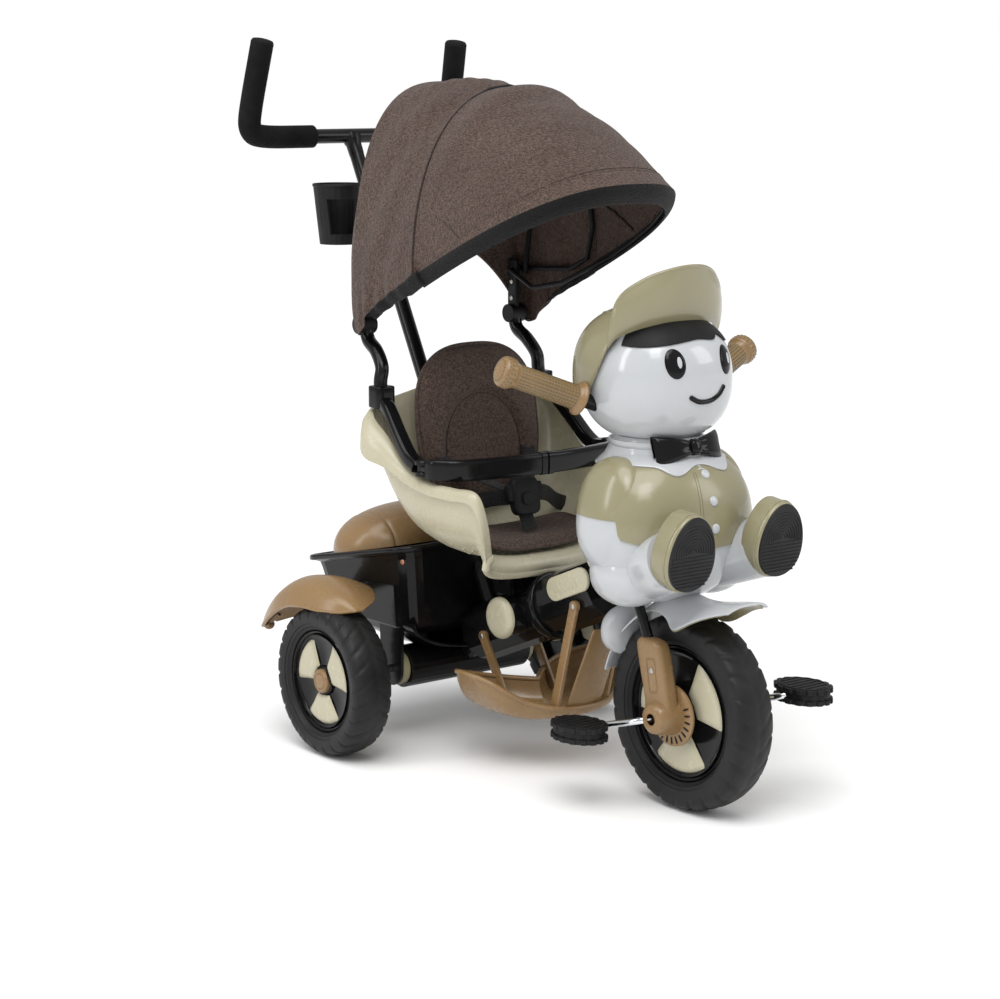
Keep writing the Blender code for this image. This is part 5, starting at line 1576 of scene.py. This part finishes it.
# Trunk, fenders, footrest and beam -------------------------------------------------------------------
def make_trunk():
    """Tub with a raised lip that slopes to the rear, a rounded belly below and a copper pin at each side."""
    keep_node("trunk", "black_gloss")
    lip = []
    centre_y = {1: TRUNK_REAR_Y - TRUNK_CORNER_R, -1: TRUNK_FRONT_Y + TRUNK_CORNER_R}
    for side, end, start in ((1, 1, 0), (-1, 1, 90), (-1, -1, 180), (1, -1, 270)):
        for step in range(13):
            a = math.radians(start + 7.5 * step)
            y = centre_y[end] + TRUNK_CORNER_R * math.sin(a)
            share = (y - TRUNK_FRONT_Y) / (TRUNK_REAR_Y - TRUNK_FRONT_Y)
            x = side * TRUNK_CORNER_X + TRUNK_CORNER_R * math.cos(a)
            lip.append(Vector((x, y, 0.2856 - 0.050 * share)))
    piece("trunk_lip", sweep(lip, section(0.0034, 0.0042, 2.5, 14), closed=True), "black_gloss", "frame")
    keel = [(0.120, 0.136), (0.150, 0.128), (0.200, 0.124), (0.250, 0.126), (0.290, 0.136), (0.312, 0.152)]
    angles = [math.pi * (1.0 + k / 24.0) for k in range(25)]
    brow = 0.176
    rows = []
    for y, low in keel:
        rows.append([(0.117 * math.cos(a), y, brow + (brow - low) * math.sin(a)) for a in angles])
    piece("trunk_belly", shell(smooth_rows(rows, 24, 49), 0.0040, -1.0), "black_gloss", "frame")
    pins = [screw_head(Vector((s * 0.1370, 0.124, 0.266)), (s, 0, 0), 0.0040) for s in SIDES.values()]
    piece("trunk_pins", pins, "copper", "frame")
    make_lid()
    for side, sign in SIDES.items():
        make_fender(side, sign)


def make_lid():
    """Half-barrel lid with domed ends and a ring step near either end."""
    tilt = shift(0.0, 0.2570, 0.2590) @ turned(-math.atan2(0.050, 0.244), "X")
    ring_x = 0.0990

    def point(i, j):
        x = LID_HALF * math.sin(math.pi / 2.0 * 0.992 * (-1.0 + i / 80.0))
        along = max(0.0, 1.0 - (abs(x) / LID_HALF) ** 2.8) ** 0.5
        y, z = arch_point(math.pi * j / 40.0, 0.084 * along, 0.064 * along, 2.15)
        step = 0.0016 if abs(x) < ring_x else 0.0
        size = 1.0 - (0.0016 * hump(abs(x), ring_x, 0.0022) + step) / 0.075
        return x, y * size, max(0.0009, z * size)

    mesh = shell(net(161, 41, point), 0.0028, -1.0, round_edge=False)
    mesh.transform(tilt)
    piece("lid", mesh, "tan", "trunk_lid", ["trunk_lid"], 45)


def make_fender(side, sign):
    """Arched fender with a hanging outer flange, a rolled edge and a knobbed tail."""
    spine = [
        # y, ridge z, drop of the outer edge, share of the full width
        (0.124, 0.2090, 0.000, 0.14),
        (0.146, 0.2230, 0.018, 0.56),
        (0.174, 0.2330, 0.028, 0.84),
        (0.208, 0.2400, 0.034, 1.0),
        (0.248, 0.2340, 0.036, 1.0),
        (0.288, 0.2130, 0.036, 0.92),
        (0.322, 0.1820, 0.026, 0.68),
        (0.346, 0.1560, 0.006, 0.16),
    ]
    # x and share of the drop, from the inner edge over the ridge to the outer flange
    across = [(0.1385, 0.62), (0.158, 0.36), (0.184, 0.10), (0.214, 0.0), (0.238, 0.30), (0.2500, 1.0)]
    ridge_x = 0.210
    rows = []
    for y, z, drop, share in spine:
        rows.append([(sign * (ridge_x + (x - ridge_x) * share), y, z - drop * part) for x, part in across])
    rows = smooth_rows(rows, 48, 28)
    parts = [shell(rows, 0.0030, 0.0)]
    edge = [*rows[0][8:], *[row[-1] for row in rows[1:-1]]]
    parts.append(sweep(edge, section(0.0024, 0.0024, count=12), (sign, 0, 0.3)))
    tail = [tuple(rows[-4][12]), tuple(rows[-1][13]), (sign * 0.209, 0.3500, 0.1500)]
    parts.append(tube(tail, 0.0050, 24))
    parts.append(blob((sign * 0.209, 0.3500, 0.1485), (0.0085, 0.0075, 0.0075), steps=(28, 18)))
    piece(f"fender_{side}", parts, "tan", "frame", [f"rear_fender_{side}"], 50)


def make_footrest():
    """Tray with two foot lobes, a thick rolled rim and four screwed straps."""
    profile = [(-1.0, 1.0), (-0.90, 0.42), (-0.66, 0.06), (0.0, 0.0), (0.66, 0.06), (0.90, 0.42), (1.0, 1.0)]
    rows = []
    for i in range(97):
        x = -TRAY_HALF * math.cos(math.pi * i / 96.0)
        u = abs(x) / TRAY_HALF
        depth = 0.001 + 0.070 * (1.0 - u**3.0) ** 0.5 - 0.020 * max(0.0, 1.0 - u / 0.42) ** 1.5
        middle = -0.052 + 0.040 * min(1.0, u / 0.60)
        rim = 0.106 + 0.030 * u * u
        floor = 0.074 + (rim - 0.075) * max(0.0, (u - 0.45) / 0.55) ** 2.2
        front = 0.46 + 0.54 * u**2.5
        row = []
        for s, share in profile:
            row.append((x, middle + s * depth, floor + (rim - floor) * share * (front if s < 0 else 1.0)))
        rows.append(curve_through(row, 40))
    parts = [shell(rows, 0.0034, 0.0, round_edge=False)]
    loop = [row[0] for row in rows] + [row[-1] for row in reversed(rows)]
    parts.append(sweep(loop, section(0.0040, 0.0032, 2.4, 14), closed=True))
    screws = []
    for sign in SIDES.values():
        x = sign * 0.0425
        for top, low in (((0.066, 0.160), (0.018, 0.083)), ((-0.128, 0.236), (-0.088, 0.088))):
            top, low = Vector((x, *top)), Vector((x, *low))
            parts.append(sweep([low, top], section(0.0074, 0.0030, 6.0, 28), (1, 0, 0)))
            end = [(0.0001, 0.0034), (0.0066, 0.0034), (0.0074, 0.0024), (0.0074, -0.0034), (0.0001, -0.0034)]
            parts.append(revolve(end, top, (sign, 0, 0), 32))
            screws.append(screw_head(top + Vector((sign * 0.0038, 0, 0)), (sign, 0, 0), 0.0040))
    wall = []
    for i in range(21):
        t = i / 20.0
        y, z = -0.092 - 0.054 * t, 0.082 + 0.123 * t
        half = 0.0300 - 0.004 * t
        wall.append([(half * (-1.0 + j / 8.0), y - 0.004 * (1.0 - (1 - j / 8.0) ** 2), z) for j in range(17)])
    parts.append(shell(wall, 0.0040, 0.0))
    piece("foot_tray", parts, "tan", "frame", ["footrest"], 50)
    piece("foot_tray_screws", screws, "screw", "frame")


def make_beam():
    for node in ("main_beam", "rear_axle_housing"):
        keep_node(node, "black_gloss")
    keep_node("rear_axle", "chrome")
    along = (BEAM_FRONT - BEAM_REAR).normalized()
    turn = Matrix.Translation(BEAM_FRONT - along * 0.122) @ frame_along(along)
    loop = [turn @ Vector((BEAM_R * math.cos(a), BEAM_R * math.sin(a), 0.0)) for a in circle(96)]
    collar = sweep(loop, section(0.0042, 0.0080, 3.0, 24), along, closed=True)
    piece("beam_collar", collar, "black_gloss", "frame")
    for side, sign in SIDES.items():
        cap = [(0.0001, 0.0078), (0.0160, 0.0076), (0.0215, 0.0070), (0.0255, 0.0056), (0.0278, 0.0032)]
        cap += [(0.0285, 0.0012), (0.0285, -0.0010)]
        at = Vector((sign * 0.0630, 0.001, 0.2))
        piece(f"cap_{side}", revolve(cap, at, (sign, 0, 0), 72), "cream", "frame", [f"beam_cap_{side}"])
        make_tag(side, sign, math.atan2(along.z, -along.y))
        ring = [(0.0180, 0.0062), (0.0225, 0.0062), (0.0245, 0.0045), (0.0245, -0.0045), (0.0225, -0.0062)]
        ring.append((0.0180, -0.0062))
        at = Vector((sign * 0.1100, *REAR_AXLE.yz))
        piece(f"axle_ring_{side}", revolve(ring, at, (sign, 0, 0), 64), "khaki", "frame")


def make_tag(side, sign, slope):
    """Oval badge with plain slanted ribs."""
    turn = turned(-slope, "Z")
    at = side_plane(sign * (BEAM_R + 0.0035)) @ shift(-0.118, 0.264, 0.0) @ turn
    outline = [(x + math.copysign(0.028, x), y) for x, y in oval(0.0160, 0.0160, 2.0, 50)]
    parts = [slab(outline, 0.0050, at, 0.0015)]
    for k in range(-2, 3):
        rib = at @ shift(0.0085 * k, 0.0, sign * 0.0026) @ turned(-0.35, "Z")
        parts.append(slab(oval(0.0014, 0.0085, 3.0, 20), 0.0012, rib, 0.0004))
    piece(f"tag_{side}", parts, "cream", "frame", [f"beam_tag_{side}"])


# Studio ----------------------------------------------------------------------------------------------
ROOM_LIGHT = 0.56
SUN_WAY = Vector((0.30, 0.22, -1.0))
LIGHTS = [
    # name, place, target, size, power
    ("key", (-1.3, -1.6, 2.6), (0.0, 0.0, 0.4), (1.0, 1.4), 16.0),
    ("strip", (-2.2, 0.6, 1.6), (0.0, 0.0, 0.35), (0.4, 1.8), 12.0),
    ("fill", (2.0, -2.2, 1.8), (0.0, -0.1, 0.4), (0.8, 1.4), 10.0),
]
CAMERA_AT = (-1.9878, -2.4434, 0.9178)
CAMERA_WAY = Vector((0.60866, 0.77368, -0.17593))
CAMERA_LENS = 85.33


def aimed(obj, way):
    obj.rotation_euler = way.to_track_quat("-Z", "Y").to_euler()


def make_room():
    """White room, dimmer for the light that it sheds than for the camera's own view of it."""
    world = bpy.data.worlds.new("studio")
    bpy.context.scene.world = world
    world.use_nodes = True
    tree = world.node_tree
    background = tree.nodes["Background"]
    background.inputs["Color"].default_value = (1.0, 1.0, 1.0, 1.0)
    seen = tree.nodes.new("ShaderNodeLightPath").outputs["Is Camera Ray"]
    tree.links.new(spread(tree, seen, ROOM_LIGHT, 1.0, 0.0, 1.0), background.inputs["Strength"])


def make_floor():
    floor = linked("floor", grid([[(x, y, 0.0) for x in (-14, 14)] for y in (-14, 14)]))
    made, tree, shader = blank_material("pale_floor")
    shade = ramp(tree, noise(tree, 0.6), [(0.3, (0.965, 0.965, 0.965)), (0.7, (0.975, 0.975, 0.975))])
    tree.links.new(shade, shader.inputs["Base Color"])
    shader.inputs["Roughness"].default_value = 0.9
    shader.inputs["Specular IOR Level"].default_value = 0.0
    floor.data.materials.append(made)


def make_lights():
    sun = linked("sun", bpy.data.lights.new("sun", "SUN"))
    sun.data.energy = 1.75
    sun.data.angle = math.radians(50.0)
    aimed(sun, SUN_WAY)
    for name, place, target, size, power in LIGHTS:
        light = bpy.data.lights.new(name, "AREA")
        light.shape = "RECTANGLE"
        light.size, light.size_y = size
        light.energy = power
        obj = linked(name, light)
        obj.location = place
        aimed(obj, Vector(target) - Vector(place))


def make_camera():
    camera = linked("camera", bpy.data.cameras.new("camera"))
    camera.data.lens = CAMERA_LENS
    camera.data.sensor_width = 36.0
    camera.location = CAMERA_AT
    aimed(camera, CAMERA_WAY)
    bpy.context.scene.camera = camera
    bpy.context.scene.view_settings.view_transform = "Standard"


def main():
    make_room()
    make_floor()
    make_lights()
    make_camera()
    make_wheels()
    make_cranks()
    make_fork()
    make_figure_body()
    make_head()
    make_cap()
    make_shoes()
    make_handlebar()
    make_seat()
    make_guard()
    make_canopy()
    make_push_handle()
    make_trunk()
    make_footrest()
    make_beam()


main()
bpy.context.view_layer.update()
